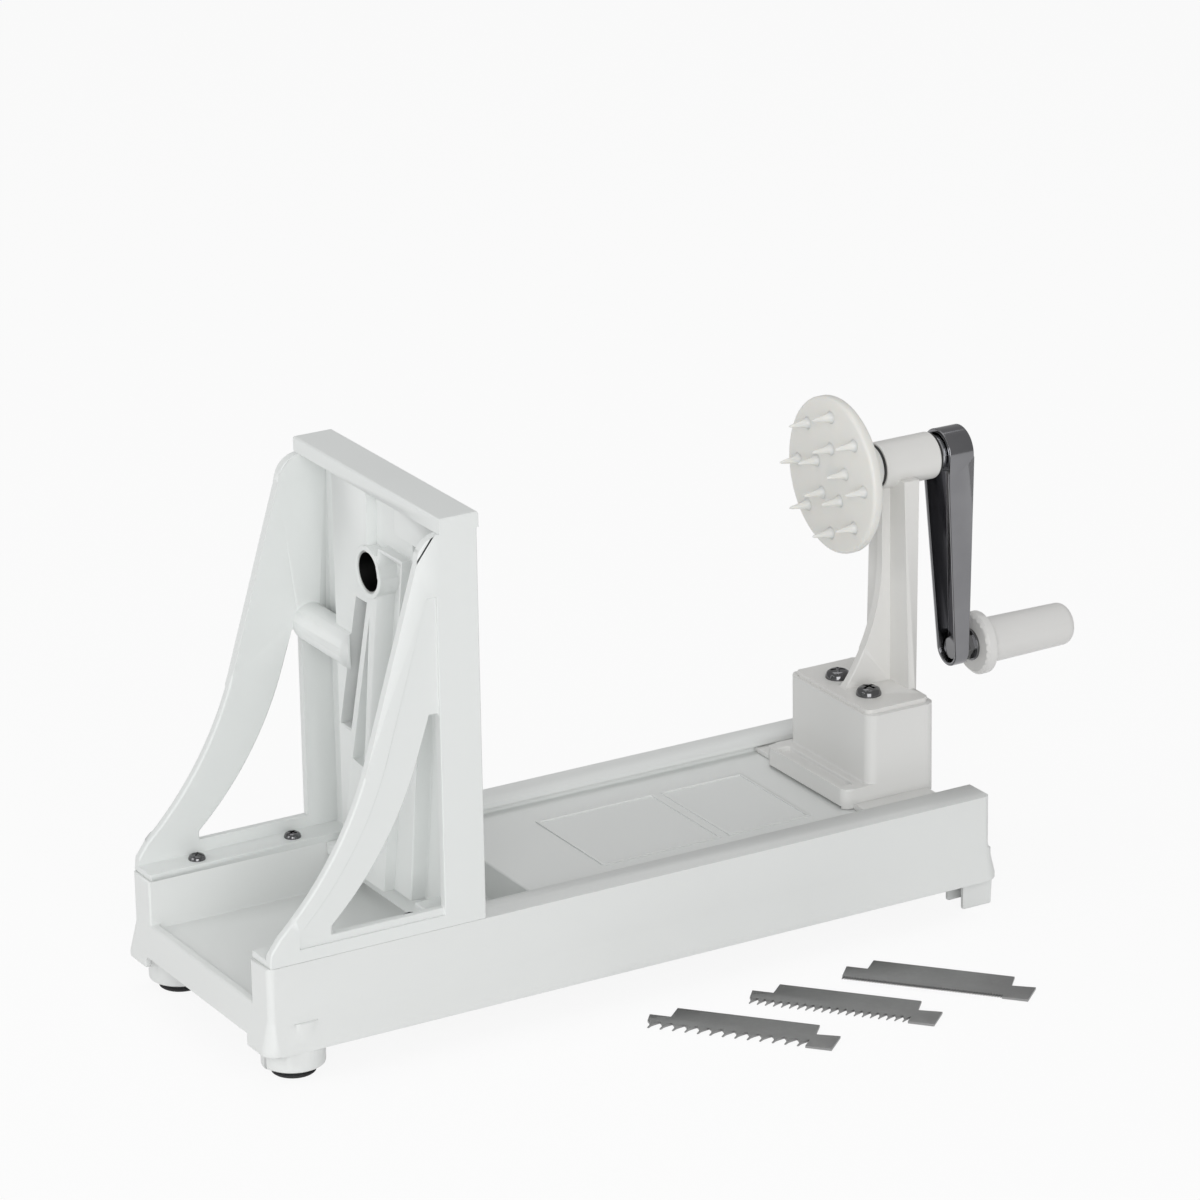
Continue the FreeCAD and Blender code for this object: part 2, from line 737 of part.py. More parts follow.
def spiked_disc():
    disc = rod_x(disc_x0, disc_x1, 0, axis_z, disc_radius)
    rims = [e for e in disc.Edges if abs(e.Length - 2 * math.pi * disc_radius) < 0.01]
    disc = disc.makeFillet(disc_edge_round, rims)
    root = Part.makeCone(hub_root_radius, hub_radius, hub_root_length, V(disc_x1, 0, axis_z), V(1, 0, 0))
    hub = rod_x(disc_x1, tube_x0 - washer_thickness - face_gap, 0, axis_z, hub_radius)
    spikes = spike_ring(outer_spikes, outer_spike_ring, 90) + spike_ring(inner_spikes, inner_spike_ring, 90)
    body = join([disc, root, hub] + spikes)
    return body.cut(rod_x(shaft_x0, tube_x0, 0, axis_z, shaft_radius))


def spike_ring(count, ring_radius, start):
    spikes = []
    for index in range(count):
        angle = math.radians(start + 360.0 * index / count)
        place = V(disc_x0 + spike_root_depth, ring_radius * math.cos(angle),
                  axis_z + ring_radius * math.sin(angle))
        spikes.append(Part.makeCone(spike_root_radius, spike_tip_radius, spike_length + spike_root_depth,
                                    place, V(-1, 0, 0)))
    return spikes


def front_washer():
    x0 = tube_x0 - washer_thickness - face_gap
    ring = rod_x(x0, x0 + washer_thickness, 0, axis_z, washer_radius)
    return ring.cut(rod_x(x0 - 1, tube_x0, 0, axis_z, shaft_radius))


def rear_washer():
    x0 = tube_x1 + face_gap
    ring = rod_x(x0, x0 + washer_thickness, 0, axis_z, washer_radius)
    return ring.cut(rod_x(x0 - 1, arm_x1, 0, axis_z, shaft_radius))


def arm_outline(x, inset, depth):
    # slot-shaped outline in the YZ plane, wide at the shaft and narrow at the handle
    big = arm_top_radius - inset
    small = arm_bottom_radius - inset
    lean = math.asin((big - small) / crank_throw)
    up = math.sin(lean)
    out = math.cos(lean)
    top_right = V(x, big * out, axis_z - big * up)
    top_left = V(x, -big * out, axis_z - big * up)
    low_right = V(x, small * out, handle_z - small * up)
    low_left = V(x, -small * out, handle_z - small * up)
    edges = [Part.Arc(top_left, V(x, 0, axis_z + big), top_right).toShape(),
             Part.LineSegment(top_right, low_right).toShape(),
             Part.Arc(low_right, V(x, 0, handle_z - small), low_left).toShape(),
             Part.LineSegment(low_left, top_left).toShape()]
    return outline_prism(edges, V(depth, 0, 0))


def crank_arm():
    shell = arm_outline(arm_x0, 0, arm_top_depth)
    room = arm_outline(arm_x0 - 1, arm_sheet, arm_top_depth - arm_sheet + 1)
    past = arm_top_radius + 1
    slope = [V(arm_x0 - 1, -past, axis_z + past), V(arm_x0, -past, axis_z - arm_top_radius),
             V(arm_x1 - arm_bottom_depth, -past, handle_z - past), V(arm_x0 - 1, -past, handle_z - past)]
    body = shell.cut(room).cut(prism(slope, V(0, 2 * past, 0)))
    body = body.cut(rod_x(arm_x0 - 1, arm_x1 + 1, 0, axis_z, shaft_radius))
    return body.cut(rod_x(arm_x0 - 1, arm_x1 + 1, 0, handle_z, bolt_radius))


def arm_boss():
    x0 = tube_x1 + washer_thickness + face_gap
    ring = rod_x(x0, arm_x1 - arm_sheet, 0, axis_z, boss_turn_radius)
    return ring.cut(rod_x(x0 - 1, arm_x1, 0, axis_z, shaft_radius))


def crank_nut():
    return hex_nut(arm_x1, nut_height, 0, axis_z, nut_flats, shaft_radius)


# Handle: bolt through the arm, nut and washer, and the grip that turns on the bolt

def handle_bolt():
    head_x = arm_x1 - arm_sheet
    head = rod_x(head_x - bolt_head_height, head_x, 0, handle_z, bolt_head_radius)
    head = head.makeChamfer(bolt_head_height / 4, [head.Edges[2]])
    shank = rod_x(head_x, grip_x0 + grip_bore_depth, 0, handle_z, bolt_radius)
    return head.fuse(shank).removeSplitter()


def handle_nut():
    return hex_nut(arm_x1, handle_nut_height, 0, handle_z, handle_nut_flats, bolt_radius)


def handle_washer():
    x0 = arm_x1 + handle_nut_height
    ring = rod_x(x0, x0 + washer_thickness, 0, handle_z, handle_washer_radius)
    return ring.cut(rod_x(x0, x0 + washer_thickness, 0, handle_z, bolt_radius))


def handle_grip():
    # turned outline from the bevelled flange to the rounded nose
    bevel = grip_flange_length / 4
    nose_x = grip_x1 - grip_nose
    waist = grip_x0 + grip_flange_length
    points = [V(grip_x0, 0, 0), V(grip_x0, grip_flange_radius - bevel, 0),
              V(grip_x0 + bevel, grip_flange_radius, 0), V(waist - bevel, grip_flange_radius, 0),
              V(waist, grip_radius + grip_root_step, 0),
              V(waist + 1, grip_radius, 0), V(nose_x, grip_end_radius, 0)]
    diagonal = math.sqrt(0.5)
    nose_mid = V(nose_x + grip_nose * diagonal, grip_end_radius - grip_nose * (1 - diagonal), 0)
    nose_end = V(grip_x1, grip_end_radius - grip_nose, 0)
    edges = [Part.LineSegment(a, b).toShape() for a, b in zip(points, points[1:])]
    edges.append(Part.Arc(points[-1], nose_mid, nose_end).toShape())
    edges.append(Part.LineSegment(nose_end, V(grip_x1, 0, 0)).toShape())
    edges.append(Part.LineSegment(V(grip_x1, 0, 0), points[0]).toShape())
    grip = Part.Face(Part.Wire(edges)).revolve(V(0, 0, 0), V(1, 0, 0), 360)
    grip.translate(V(0, 0, handle_z))
    return grip.cut(rod_x(grip_x0 - 1, grip_x0 + grip_bore_depth + 1, 0, handle_z,
                          bolt_radius + grip_clearance))


# Loose comb blades: back strip, toothed strip with its tab, all from one sheet

def comb_blade(teeth, tooth, place):
    x0 = -comb_lead
    x1 = comb_edge_length - comb_lead
    root = comb_back_width + comb_tooth_zone - tooth
    edge = comb_back_width + comb_tooth_zone
    tab_x = x1 - comb_tab_length
    first = x0 + comb_step
    outline = [V(0, 0, 0), V(comb_back_length, 0, 0), V(comb_back_length + comb_step, comb_back_width, 0),
               V(x1, comb_back_width - comb_step, 0), V(x1, edge, 0), V(tab_x, edge, 0), V(tab_x, root, 0),
               V(first, root, 0), V(x0, comb_back_width, 0), V(0, comb_back_width, 0)]
    parts = [prism([V(p.x, -p.y, 0) for p in outline], V(0, 0, comb_sheet))]
    pitch = (tab_x - first) / teeth
    foot = comb_root_overlap - root
    for index in range(teeth):
        a = first + pitch * index
        points = [V(a, foot, 0), V(a + pitch * comb_tip_start, -edge, 0),
                  V(a + pitch * comb_tip_end, -edge, 0), V(a + pitch * comb_tooth_end, foot, 0)]
        parts.append(prism(points, V(0, 0, comb_sheet)))
    blade = join(parts)
    blade.rotate(V(0, 0, 0), V(0, 0, 1), comb_turn)
    blade.translate(V(place[0], place[1], 0))
    return blade


nodes = {
    "base_body": base_body(),
    "suction_feet": suction_feet(),
    "blade_frame": blade_frame(),
    "frame_screws": frame_screws(),
    "core_tube": core_tube(),
    "main_blade": main_blade(),
    "carriage": carriage(),
    "crank_bracket": crank_bracket(),
    "bracket_screws": bracket_screws(),
    "front_bush": bush(tube_x0),
    "rear_bush": bush(tube_x1 - bush_length),
    "crank_shaft": crank_shaft(),
    "spiked_disc": spiked_disc(),
    "front_washer": front_washer(),
    "rear_washer": rear_washer(),
    "crank_arm": crank_arm(),
    "arm_boss": arm_boss(),
    "crank_nut": crank_nut(),
    "handle_bolt": handle_bolt(),
    "handle_nut": handle_nut(),
    "handle_washer": handle_washer(),
    "handle_grip": handle_grip(),
    "comb_coarse": comb_blade(comb_coarse_teeth, comb_coarse_tooth, comb_coarse_place),
    "comb_medium": comb_blade(comb_medium_teeth, comb_medium_tooth, comb_medium_place),
    "comb_fine": comb_blade(comb_fine_teeth, comb_fine_tooth, comb_fine_place),
}

# The origin goes under the middle of the whole set, on the table
whole = Part.makeCompound(list(nodes.values())).BoundBox
shift = V(-(whole.XMin + whole.XMax) / 2, -(whole.YMin + whole.YMax) / 2, 0)

os.makedirs("parts", exist_ok=True)
for name, shape in nodes.items():
    shape.translate(shift)
    shape.exportStep(f"parts/{name}.step")
    solids = len(shape.Solids)
    print(f"{name:16s} solids {solids:2d} valid {shape.isValid()} volume {shape.Volume:10.1f}")
print("shift", [round(c, 4) for c in shift])
print("axis_z", axis_z, "handle_z", handle_z, "arm_x1", round(arm_x1 + shift.x, 4))
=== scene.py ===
import math

import bmesh
import bpy
from mathutils import Matrix, Vector
from mathutils.geometry import intersect_point_line


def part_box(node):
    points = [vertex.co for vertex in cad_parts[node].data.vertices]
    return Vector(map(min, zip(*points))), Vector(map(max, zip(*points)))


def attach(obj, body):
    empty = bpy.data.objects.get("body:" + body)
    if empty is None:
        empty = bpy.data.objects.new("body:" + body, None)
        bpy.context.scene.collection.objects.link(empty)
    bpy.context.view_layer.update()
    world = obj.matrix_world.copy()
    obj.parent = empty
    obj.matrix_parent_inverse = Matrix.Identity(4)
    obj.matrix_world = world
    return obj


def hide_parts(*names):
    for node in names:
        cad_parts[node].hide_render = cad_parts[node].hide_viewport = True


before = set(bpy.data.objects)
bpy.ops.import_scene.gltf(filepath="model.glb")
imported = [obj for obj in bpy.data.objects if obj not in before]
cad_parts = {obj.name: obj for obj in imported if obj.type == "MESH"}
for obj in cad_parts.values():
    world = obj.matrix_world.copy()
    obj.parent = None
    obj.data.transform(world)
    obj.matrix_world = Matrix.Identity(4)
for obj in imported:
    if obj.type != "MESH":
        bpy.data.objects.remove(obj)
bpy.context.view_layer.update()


# Camera: a long lens well back from the table, looking down at the near long side from the blade end.
# Its place and its turns were fitted to the straight edges of the base and of the upright.
base_low, base_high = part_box("base_body")
base_middle = (base_low + base_high) / 2


def at(x, y, z):
    """A place given in millimetres from the middle of the base and up from the table."""
    return Vector((base_middle.x + x / 1000, base_middle.y + y / 1000, z / 1000))


view_turn = math.radians(-30.0)
view_drop = math.radians(20.07)
view_roll = math.radians(-0.98)
camera_place = at(-1117.0, -1965.5, 978.0)
sensor_width = 36.0
lens_length = 177.33
level = Vector((math.cos(view_turn), math.sin(view_turn), 0))
away = Vector((math.sin(view_turn) * math.cos(view_drop), -math.cos(view_turn) * math.cos(view_drop),
               math.sin(view_drop)))
upright = away.cross(level)
camera = bpy.data.objects.new("studio_camera", bpy.data.cameras.new("studio_camera"))
bpy.context.scene.collection.objects.link(camera)
camera_right = level * math.cos(view_roll) + upright * math.sin(view_roll)
camera_up = upright * math.cos(view_roll) - level * math.sin(view_roll)
turned = Matrix((camera_right, camera_up, away)).transposed().to_4x4()
camera.matrix_world = Matrix.Translation(camera_place) @ turned
camera.data.sensor_width = sensor_width
camera.data.lens = lens_length
camera.data.clip_start = 0.05
camera.data.clip_end = 30.0
bpy.context.scene.camera = camera


# Studio: a wide pale table, an even pale room and three large soft lamps, the strongest low at the
# front. The camera sees table and room almost white, while the room lights the object less strongly.
def new_material(name):
    """An empty node material, with its nodes and links."""
    material = bpy.data.materials.new(name)
    material.use_nodes = True
    material.node_tree.nodes.clear()
    return material, material.node_tree.nodes, material.node_tree.links


def studio_table():
    """A wide plane just under the feet, brightened for the camera and for reflections."""
    material, nodes, links = new_material("studio_table")
    out = nodes.new("ShaderNodeOutputMaterial")
    paint = nodes.new("ShaderNodeBsdfDiffuse")
    cloud = nodes.new("ShaderNodeTexNoise")
    tint = nodes.new("ShaderNodeMix")
    glow = nodes.new("ShaderNodeEmission")
    rays = nodes.new("ShaderNodeLightPath")
    either = nodes.new("ShaderNodeMath")
    share = nodes.new("ShaderNodeMath")
    blend = nodes.new("ShaderNodeMixShader")
    cloud.inputs["Scale"].default_value = 3.0
    tint.data_type = "RGBA"
    tint.inputs["A"].default_value = (0.86, 0.86, 0.86, 1)
    tint.inputs["B"].default_value = (0.90, 0.90, 0.90, 1)
    either.operation = "MAXIMUM"
    share.operation = "MULTIPLY"
    share.inputs[1].default_value = 0.9
    glow.inputs["Color"].default_value = (1, 1, 1, 1)
    links.new(cloud.outputs["Fac"], tint.inputs["Factor"])
    links.new(tint.outputs["Result"], paint.inputs["Color"])
    links.new(rays.outputs["Is Camera Ray"], either.inputs[0])
    links.new(rays.outputs["Is Glossy Ray"], either.inputs[1])
    links.new(either.outputs[0], share.inputs[0])
    links.new(share.outputs[0], blend.inputs["Fac"])
    links.new(paint.outputs[0], blend.inputs[1])
    links.new(glow.outputs[0], blend.inputs[2])
    links.new(blend.outputs[0], out.inputs["Surface"])
    plane = bpy.data.meshes.new("studio_table")
    reach = 6.0
    drop = 0.0002
    corners = [Vector((reach * x, reach * y, -drop)) for x, y in ((-1, -1), (1, -1), (1, 1), (-1, 1))]
    plane.from_pydata(corners, [], [(0, 1, 2, 3)])
    plane.materials.append(material)
    table = bpy.data.objects.new("studio_table", plane)
    bpy.context.scene.collection.objects.link(table)


def studio_room(strength):
    """Even light from all sides, seen as plain white by the camera."""
    world = bpy.data.worlds.new("studio_room")
    bpy.context.scene.world = world
    world.use_nodes = True
    nodes, links = world.node_tree.nodes, world.node_tree.links
    nodes.clear()
    out = nodes.new("ShaderNodeOutputWorld")
    soft = nodes.new("ShaderNodeBackground")
    white = nodes.new("ShaderNodeBackground")
    rays = nodes.new("ShaderNodeLightPath")
    blend = nodes.new("ShaderNodeMixShader")
    soft.inputs["Color"].default_value = (1.0, 1.0, 1.0, 1)
    soft.inputs["Strength"].default_value = strength
    white.inputs["Color"].default_value = (1, 1, 1, 1)
    links.new(rays.outputs["Is Camera Ray"], blend.inputs["Fac"])
    links.new(soft.outputs[0], blend.inputs[1])
    links.new(white.outputs[0], blend.inputs[2])
    links.new(blend.outputs[0], out.inputs["Surface"])


def soft_lamp(name, place, aim_height, size, power):
    """A square lamp, turned to a spot above the middle of the table."""
    data = bpy.data.lights.new(name, "AREA")
    data.shape = "SQUARE"
    data.size = size
    data.energy = power
    lamp = bpy.data.objects.new(name, data)
    bpy.context.scene.collection.objects.link(lamp)
    lamp.location = place
    sight = Vector((0, 0, aim_height)) - Vector(place)
    lamp.rotation_euler = sight.to_track_quat("-Z", "Y").to_euler()


studio_table()
studio_room(0.42)
soft_lamp("front_lamp", place=(-0.9, -1.9, 0.75), aim_height=0.08, size=1.4, power=22.0)
soft_lamp("side_lamp", place=(-2.0, 0.1, 0.9), aim_height=0.08, size=1.2, power=9.0)
soft_lamp("top_lamp", place=(0.3, 0.5, 2.0), aim_height=0.05, size=1.4, power=7.0)
bpy.context.scene.view_settings.view_transform = "Standard"


# Base: one long injection moulding in glossy off-white plastic, open underneath, with two rails, a
# deck between them, a low well at the blade end and a flared skirt. Its edges are softly rounded.
def edge_share(edge, radius):
    """How much of the rounding an edge can take before it meets its neighbours, from 0 to 1."""
    used_room = 0.42
    tested_shares = (0.05, 0.25, 0.5, 0.75, 0.95)
    nearly_in_line = 0.9
    looks_back = -0.5
    past_end = 0.05
    along = (edge.verts[1].co - edge.verts[0].co).normalized()
    room = radius
    for vert in edge.verts:
        for other in vert.link_edges:
            if other is edge:
                continue
            line = other.other_vert(vert).co - vert.co
            if abs(line.normalized().dot(along)) < nearly_in_line:
                room = min(room, line.length * used_room)
    for loop in edge.link_loops:
        ahead = loop.link_loop_next.vert.co - loop.vert.co
        spots = [loop.vert.co + ahead * share for share in tested_shares]
        for other in loop.face.loops:
            start, end = other.vert.co, other.link_loop_next.vert.co
            if (end - start).dot(ahead) < looks_back * ahead.length * (end - start).length:
                for spot in spots:
                    near, share = intersect_point_line(spot, start, end)
                    if -past_end < share < 1 + past_end:
                        room = min(room, (near - spot).length * used_room)
    return room / radius


def folded_spots(mesh):
    """Places where one rounding has run into another and turned a face over."""
    shortest_edge = 2e-5
    folded_angle = math.radians(150)
    smallest_part = 1e-8
    bm = bmesh.new()
    bm.from_mesh(mesh)
    spots = []
    for edge in bm.edges:
        if len(edge.link_faces) == 2 and edge.calc_length() > shortest_edge:
            if edge.calc_face_angle() > folded_angle:
                spots += [vert.co.copy() for vert in edge.verts]
    bm.free()
    mesh.calc_loop_triangles()
    for part in mesh.loop_triangles:
        if part.area > smallest_part and part.normal.dot(mesh.polygons[part.polygon_index].normal) < 0:
            spots += [mesh.vertices[index].co.copy() for index in part.vertices]
    return list({tuple(round(value, 4) for value in spot): spot for spot in spots}.values())


def near_edge(edge, spots, reach):
    """Whether one of the spots lies within the reach of an edge."""
    start, end = (vert.co for vert in edge.verts)
    for spot in spots:
        near, share = intersect_point_line(spot, start, end)
        near = start.lerp(end, min(max(share, 0.0), 1.0))
        if (near - spot).length < reach:
            return True
    return False


def whole_faces(node, piece):
    """A CAD node's mesh with the triangles of each flat face joined, and long winding faces cut up."""
    same_place = 1e-6
    flat = math.radians(0.3)
    most_corners = 20
    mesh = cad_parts[node].data.copy()
    mesh.name = piece
    mesh.materials.clear()
    bm = bmesh.new()
    bm.from_mesh(mesh)
    bmesh.ops.remove_doubles(bm, verts=bm.verts, dist=same_place)
    bmesh.ops.dissolve_limit(bm, angle_limit=flat, verts=bm.verts, edges=bm.edges)
    winding = [face for face in bm.faces if len(face.verts) > most_corners]
    bmesh.ops.connect_verts_concave(bm, faces=winding)
    bm.edges.index_update()
    return mesh, bm


def weigh_edges(bm, radius, spots, drawn_in):
    """Gives each sharp edge its share of the rounding, and less of it near the folded spots."""
    sharp = math.radians(28.0)
    spot_reach = 2.2 * radius
    drawing_step = 0.4
    least_share = 0.12
    weight = bm.edges.layers.float.new("bevel_weight_edge")
    for edge in bm.edges:
        if len(edge.link_faces) == 2 and edge.calc_face_angle() > sharp:
            if near_edge(edge, spots, spot_reach):
                drawn_in[edge.index] = drawn_in.get(edge.index, 1.0) * drawing_step
            share = edge_share(edge, radius) * drawn_in.get(edge.index, 1.0)
            edge[weight] = share if share > least_share else 0.0


def round_edges(rough, mesh, radius):
    """Rounds the weighed edges of a mesh, which becomes the object's own."""
    for face in mesh.polygons:
        face.use_smooth = True
    rough.data = mesh
    rounding = rough.modifiers.new("rounding", "BEVEL")
    rounding.limit_method = "WEIGHT"
    rounding.width = radius
    rounding.segments = 3
    rounding.use_clamp_overlap = False
    rounding.miter_outer = "MITER_SHARP"
    return plain(rough).data


def split_folded_faces(mesh):
    """Cuts a face that a rounding has folded into triangles, so that each is lit by its own side."""
    smallest_part = 1e-11
    turned_away = 0.5
    mesh.calc_loop_triangles()
    folded = {part.polygon_index for part in mesh.loop_triangles if part.area > smallest_part
              and part.normal.dot(mesh.polygons[part.polygon_index].normal) < turned_away}
    bm = bmesh.new()
    bm.from_mesh(mesh)
    bm.faces.ensure_lookup_table()
    bmesh.ops.triangulate(bm, faces=[bm.faces[index] for index in folded])
    bm.to_mesh(mesh)
    bm.free()


def light_by_faces(rough):
    """Shades the large faces flat up to their roundings, and no corner away from its own face."""
    turned_away = 0.5
    rough.data.set_sharp_from_angle(angle=math.radians(50))
    shade = rough.modifiers.new("shade", "WEIGHTED_NORMAL")
    shade.keep_sharp = True
    shade.weight = 80
    mesh = plain(rough).data
    normals = [corner.vector.copy() for corner in mesh.corner_normals]
    for face in mesh.polygons:
        for corner in face.loop_indices:
            if normals[corner].dot(face.normal) < turned_away:
                normals[corner] = face.normal.copy()
    mesh.normals_split_custom_set(normals)


def rounded_copy(node, piece, radius):
    """A copy of a CAD node with every sharp edge rounded as a moulding tool leaves it. Where the
    roundings of a tight corner would fold over each other, they are drawn smaller step by step."""
    most_tries = 5
    rough = bpy.data.objects.new(piece, bpy.data.meshes.new("unrounded"))
    bpy.context.scene.collection.objects.link(rough)
    drawn_in = {}
    spots = []
    for _ in range(most_tries):
        mesh, bm = whole_faces(node, piece)
        weigh_edges(bm, radius, spots, drawn_in)
        bm.to_mesh(mesh)
        bm.free()
        spots = folded_spots(round_edges(rough, mesh, radius))
        if not spots:
            break
    low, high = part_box(node)
    for vert in rough.data.vertices:
        vert.co = [min(max(value, least), most) for value, least, most in zip(vert.co, low, high)]
    split_folded_faces(rough.data)
    light_by_faces(rough)
    return rough


def plain(rough):
    """The object with its modifiers taken into its mesh."""
    bpy.context.view_layer.update()
    graph = bpy.context.evaluated_depsgraph_get()
    made = bpy.data.meshes.new_from_object(rough.evaluated_get(graph), depsgraph=graph)
    rough.modifiers.clear()
    made.name = rough.name
    rough.data = made
    return rough


def new_group(name, inputs, outputs):
    """A shader node group with named sockets, and its input and output nodes."""
    group = bpy.data.node_groups.new(name, "ShaderNodeTree")
    for label, kind, value in inputs:
        socket = group.interface.new_socket(label, in_out="INPUT", socket_type=kind)
        socket.default_value = value
    for label, kind in outputs:
        group.interface.new_socket(label, in_out="OUTPUT", socket_type=kind)
    return group, group.nodes.new("NodeGroupInput"), group.nodes.new("NodeGroupOutput")


def moulded_surface():
    """Plastic from a polished tool: faint flow clouding, a fine orange-peel skin and a little dust."""
    group, given, made = new_group(
        "moulded_surface",
        [("Colour", "NodeSocketColor", (0.8, 0.8, 0.8, 1)),
         ("Shade Colour", "NodeSocketColor", (0.7, 0.7, 0.7, 1)),
         ("Flow Scale", "NodeSocketFloat", 14.0), ("Skin Scale", "NodeSocketFloat", 900.0),
         ("Least Roughness", "NodeSocketFloat", 0.3), ("Dust", "NodeSocketFloat", 0.1)],
        [("Colour", "NodeSocketColor"), ("Roughness", "NodeSocketFloat"), ("Height", "NodeSocketFloat")])
    nodes, links = group.nodes, group.links
    place = nodes.new("ShaderNodeTexCoord")
    flow = nodes.new("ShaderNodeTexNoise")
    skin = nodes.new("ShaderNodeTexNoise")
    speck = nodes.new("ShaderNodeTexVoronoi")
    tint = nodes.new("ShaderNodeMix")
    dusty = nodes.new("ShaderNodeMix")
    spot = nodes.new("ShaderNodeMapRange")
    spot_share = nodes.new("ShaderNodeMath")
    rough = nodes.new("ShaderNodeMapRange")
    most_rough = nodes.new("ShaderNodeMath")
    flow.inputs["Detail"].default_value = 4.0
    flow.inputs["Distortion"].default_value = 0.6
    skin.inputs["Detail"].default_value = 3.0
    speck.inputs["Scale"].default_value = 260.0
    tint.data_type = dusty.data_type = "RGBA"
    spot.inputs["From Min"].default_value = 0.035
    spot.inputs["From Max"].default_value = 0.02
    spot_share.operation = "MULTIPLY"
    dusty.inputs["B"].default_value = (0.55, 0.54, 0.51, 1)
    most_rough.operation = "MULTIPLY"
    most_rough.inputs[1].default_value = 1.45
    for texture in (flow, skin, speck):
        links.new(place.outputs["Object"], texture.inputs["Vector"])
    links.new(given.outputs["Flow Scale"], flow.inputs["Scale"])
    links.new(given.outputs["Skin Scale"], skin.inputs["Scale"])
    links.new(flow.outputs["Fac"], tint.inputs["Factor"])
    links.new(given.outputs["Shade Colour"], tint.inputs["A"])
    links.new(given.outputs["Colour"], tint.inputs["B"])
    links.new(speck.outputs["Distance"], spot.inputs["Value"])
    links.new(spot.outputs["Result"], spot_share.inputs[0])
    links.new(given.outputs["Dust"], spot_share.inputs[1])
    links.new(spot_share.outputs[0], dusty.inputs["Factor"])
    links.new(tint.outputs["Result"], dusty.inputs["A"])
    links.new(given.outputs["Least Roughness"], most_rough.inputs[0])
    links.new(flow.outputs["Fac"], rough.inputs["Value"])
    links.new(given.outputs["Least Roughness"], rough.inputs["To Min"])
    links.new(most_rough.outputs[0], rough.inputs["To Max"])
    links.new(dusty.outputs["Result"], made.inputs["Colour"])
    links.new(rough.outputs["Result"], made.inputs["Roughness"])
    links.new(skin.outputs["Fac"], made.inputs["Height"])
    return group


moulded_group = moulded_surface()


def plastic(name, colour, shade_colour, roughness, flow_scale=14.0, skin_depth=0.00002, glow_through=0.0):
    """A moulded plastic or rubber, given with its least roughness."""
    material, nodes, links = new_material(name)
    out = nodes.new("ShaderNodeOutputMaterial")
    body = nodes.new("ShaderNodeBsdfPrincipled")
    bump = nodes.new("ShaderNodeBump")
    surface = nodes.new("ShaderNodeGroup")
    surface.node_tree = moulded_group
    surface.inputs["Colour"].default_value = (*colour, 1)
    surface.inputs["Shade Colour"].default_value = (*shade_colour, 1)
    surface.inputs["Least Roughness"].default_value = roughness
    surface.inputs["Flow Scale"].default_value = flow_scale
    bump.inputs["Distance"].default_value = skin_depth
    bump.inputs["Strength"].default_value = 0.6
    body.inputs["IOR"].default_value = 1.47
    body.inputs["Subsurface Weight"].default_value = glow_through
    body.inputs["Subsurface Radius"].default_value = (0.006, 0.005, 0.004)
    body.inputs["Subsurface Scale"].default_value = 1.0
    links.new(surface.outputs["Colour"], body.inputs["Base Color"])
    links.new(surface.outputs["Roughness"], body.inputs["Roughness"])
    links.new(surface.outputs["Height"], bump.inputs["Height"])
    links.new(bump.outputs["Normal"], body.inputs["Normal"])
    links.new(body.outputs[0], out.inputs["Surface"])
    return material


def fit(piece, body, material, node):
    """Gives a finished piece its material and its body, and hides the CAD node that it stands for."""
    if not piece.data.materials:
        piece.data.materials.append(material)
    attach(piece, body)
    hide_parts(node)


def dress(node, piece, body, material, radius):
    """Puts a rounded copy in the place of a CAD node."""
    fit(rounded_copy(node, piece, radius), body, material, node)


white_plastic = plastic("white_base_plastic", (0.80, 0.815, 0.805), (0.775, 0.79, 0.78), roughness=0.30)
dress("base_body", "base_moulding", "base", white_plastic, radius=0.0009)


# Rubber feet: two round suction cups of black rubber under the corners of the blade end. Each is
# moulded in one with a stem, which is pushed up into a boss of the base.
crease = math.radians(32)


def turned_piece(name, profile, middle, axis="Z", steps=64):
    """A closed turned shape, bored where its profile starts off the axis. The profile runs from one end
    to the other as (along the axis, radius) in mm."""
    bm = bmesh.new()
    rings = []
    for along, radius in profile:
        if radius == 0:
            rings.append([bm.verts.new((0, 0, along))])
            continue
        angles = [2 * math.pi * k / steps for k in range(steps)]
        rings.append([bm.verts.new((radius * math.cos(angle), radius * math.sin(angle), along))
                      for angle in angles])
    bored = profile[0][1] > 0
    for first, second in zip(rings, rings[1:] + (rings[:1] if bored else [])):
        for k in range(steps):
            n = (k + 1) % steps
            if len(first) == 1:
                bm.faces.new((first[0], second[k], second[n]))
            elif len(second) == 1:
                bm.faces.new((first[k], first[n], second[0]))
            else:
                bm.faces.new((first[k], first[n], second[n], second[k]))
    bmesh.ops.recalc_face_normals(bm, faces=bm.faces)
    mesh = bpy.data.meshes.new(name)
    bm.to_mesh(mesh)
    bm.free()
    if axis == "X":
        mesh.transform(Matrix.Rotation(math.radians(90), 4, "Y"))
    mesh.transform(Matrix.Scale(0.001, 4))
    mesh.transform(Matrix.Translation(middle))
    for face in mesh.polygons:
        face.use_smooth = True
    mesh.set_sharp_from_angle(angle=crease)
    piece = bpy.data.objects.new(name, mesh)
    bpy.context.scene.collection.objects.link(piece)
    return piece


def joined(name, pieces):
    """Several meshes made one piece."""
    bm = bmesh.new()
    for piece in pieces:
        bm.from_mesh(piece.data)
    mesh = bpy.data.meshes.new(name)
    bm.to_mesh(mesh)
    bm.free()
    mesh.set_sharp_from_angle(angle=crease)
    for piece in pieces:
        bpy.data.objects.remove(piece)
    whole = bpy.data.objects.new(name, mesh)
    bpy.context.scene.collection.objects.link(whole)
    return whole


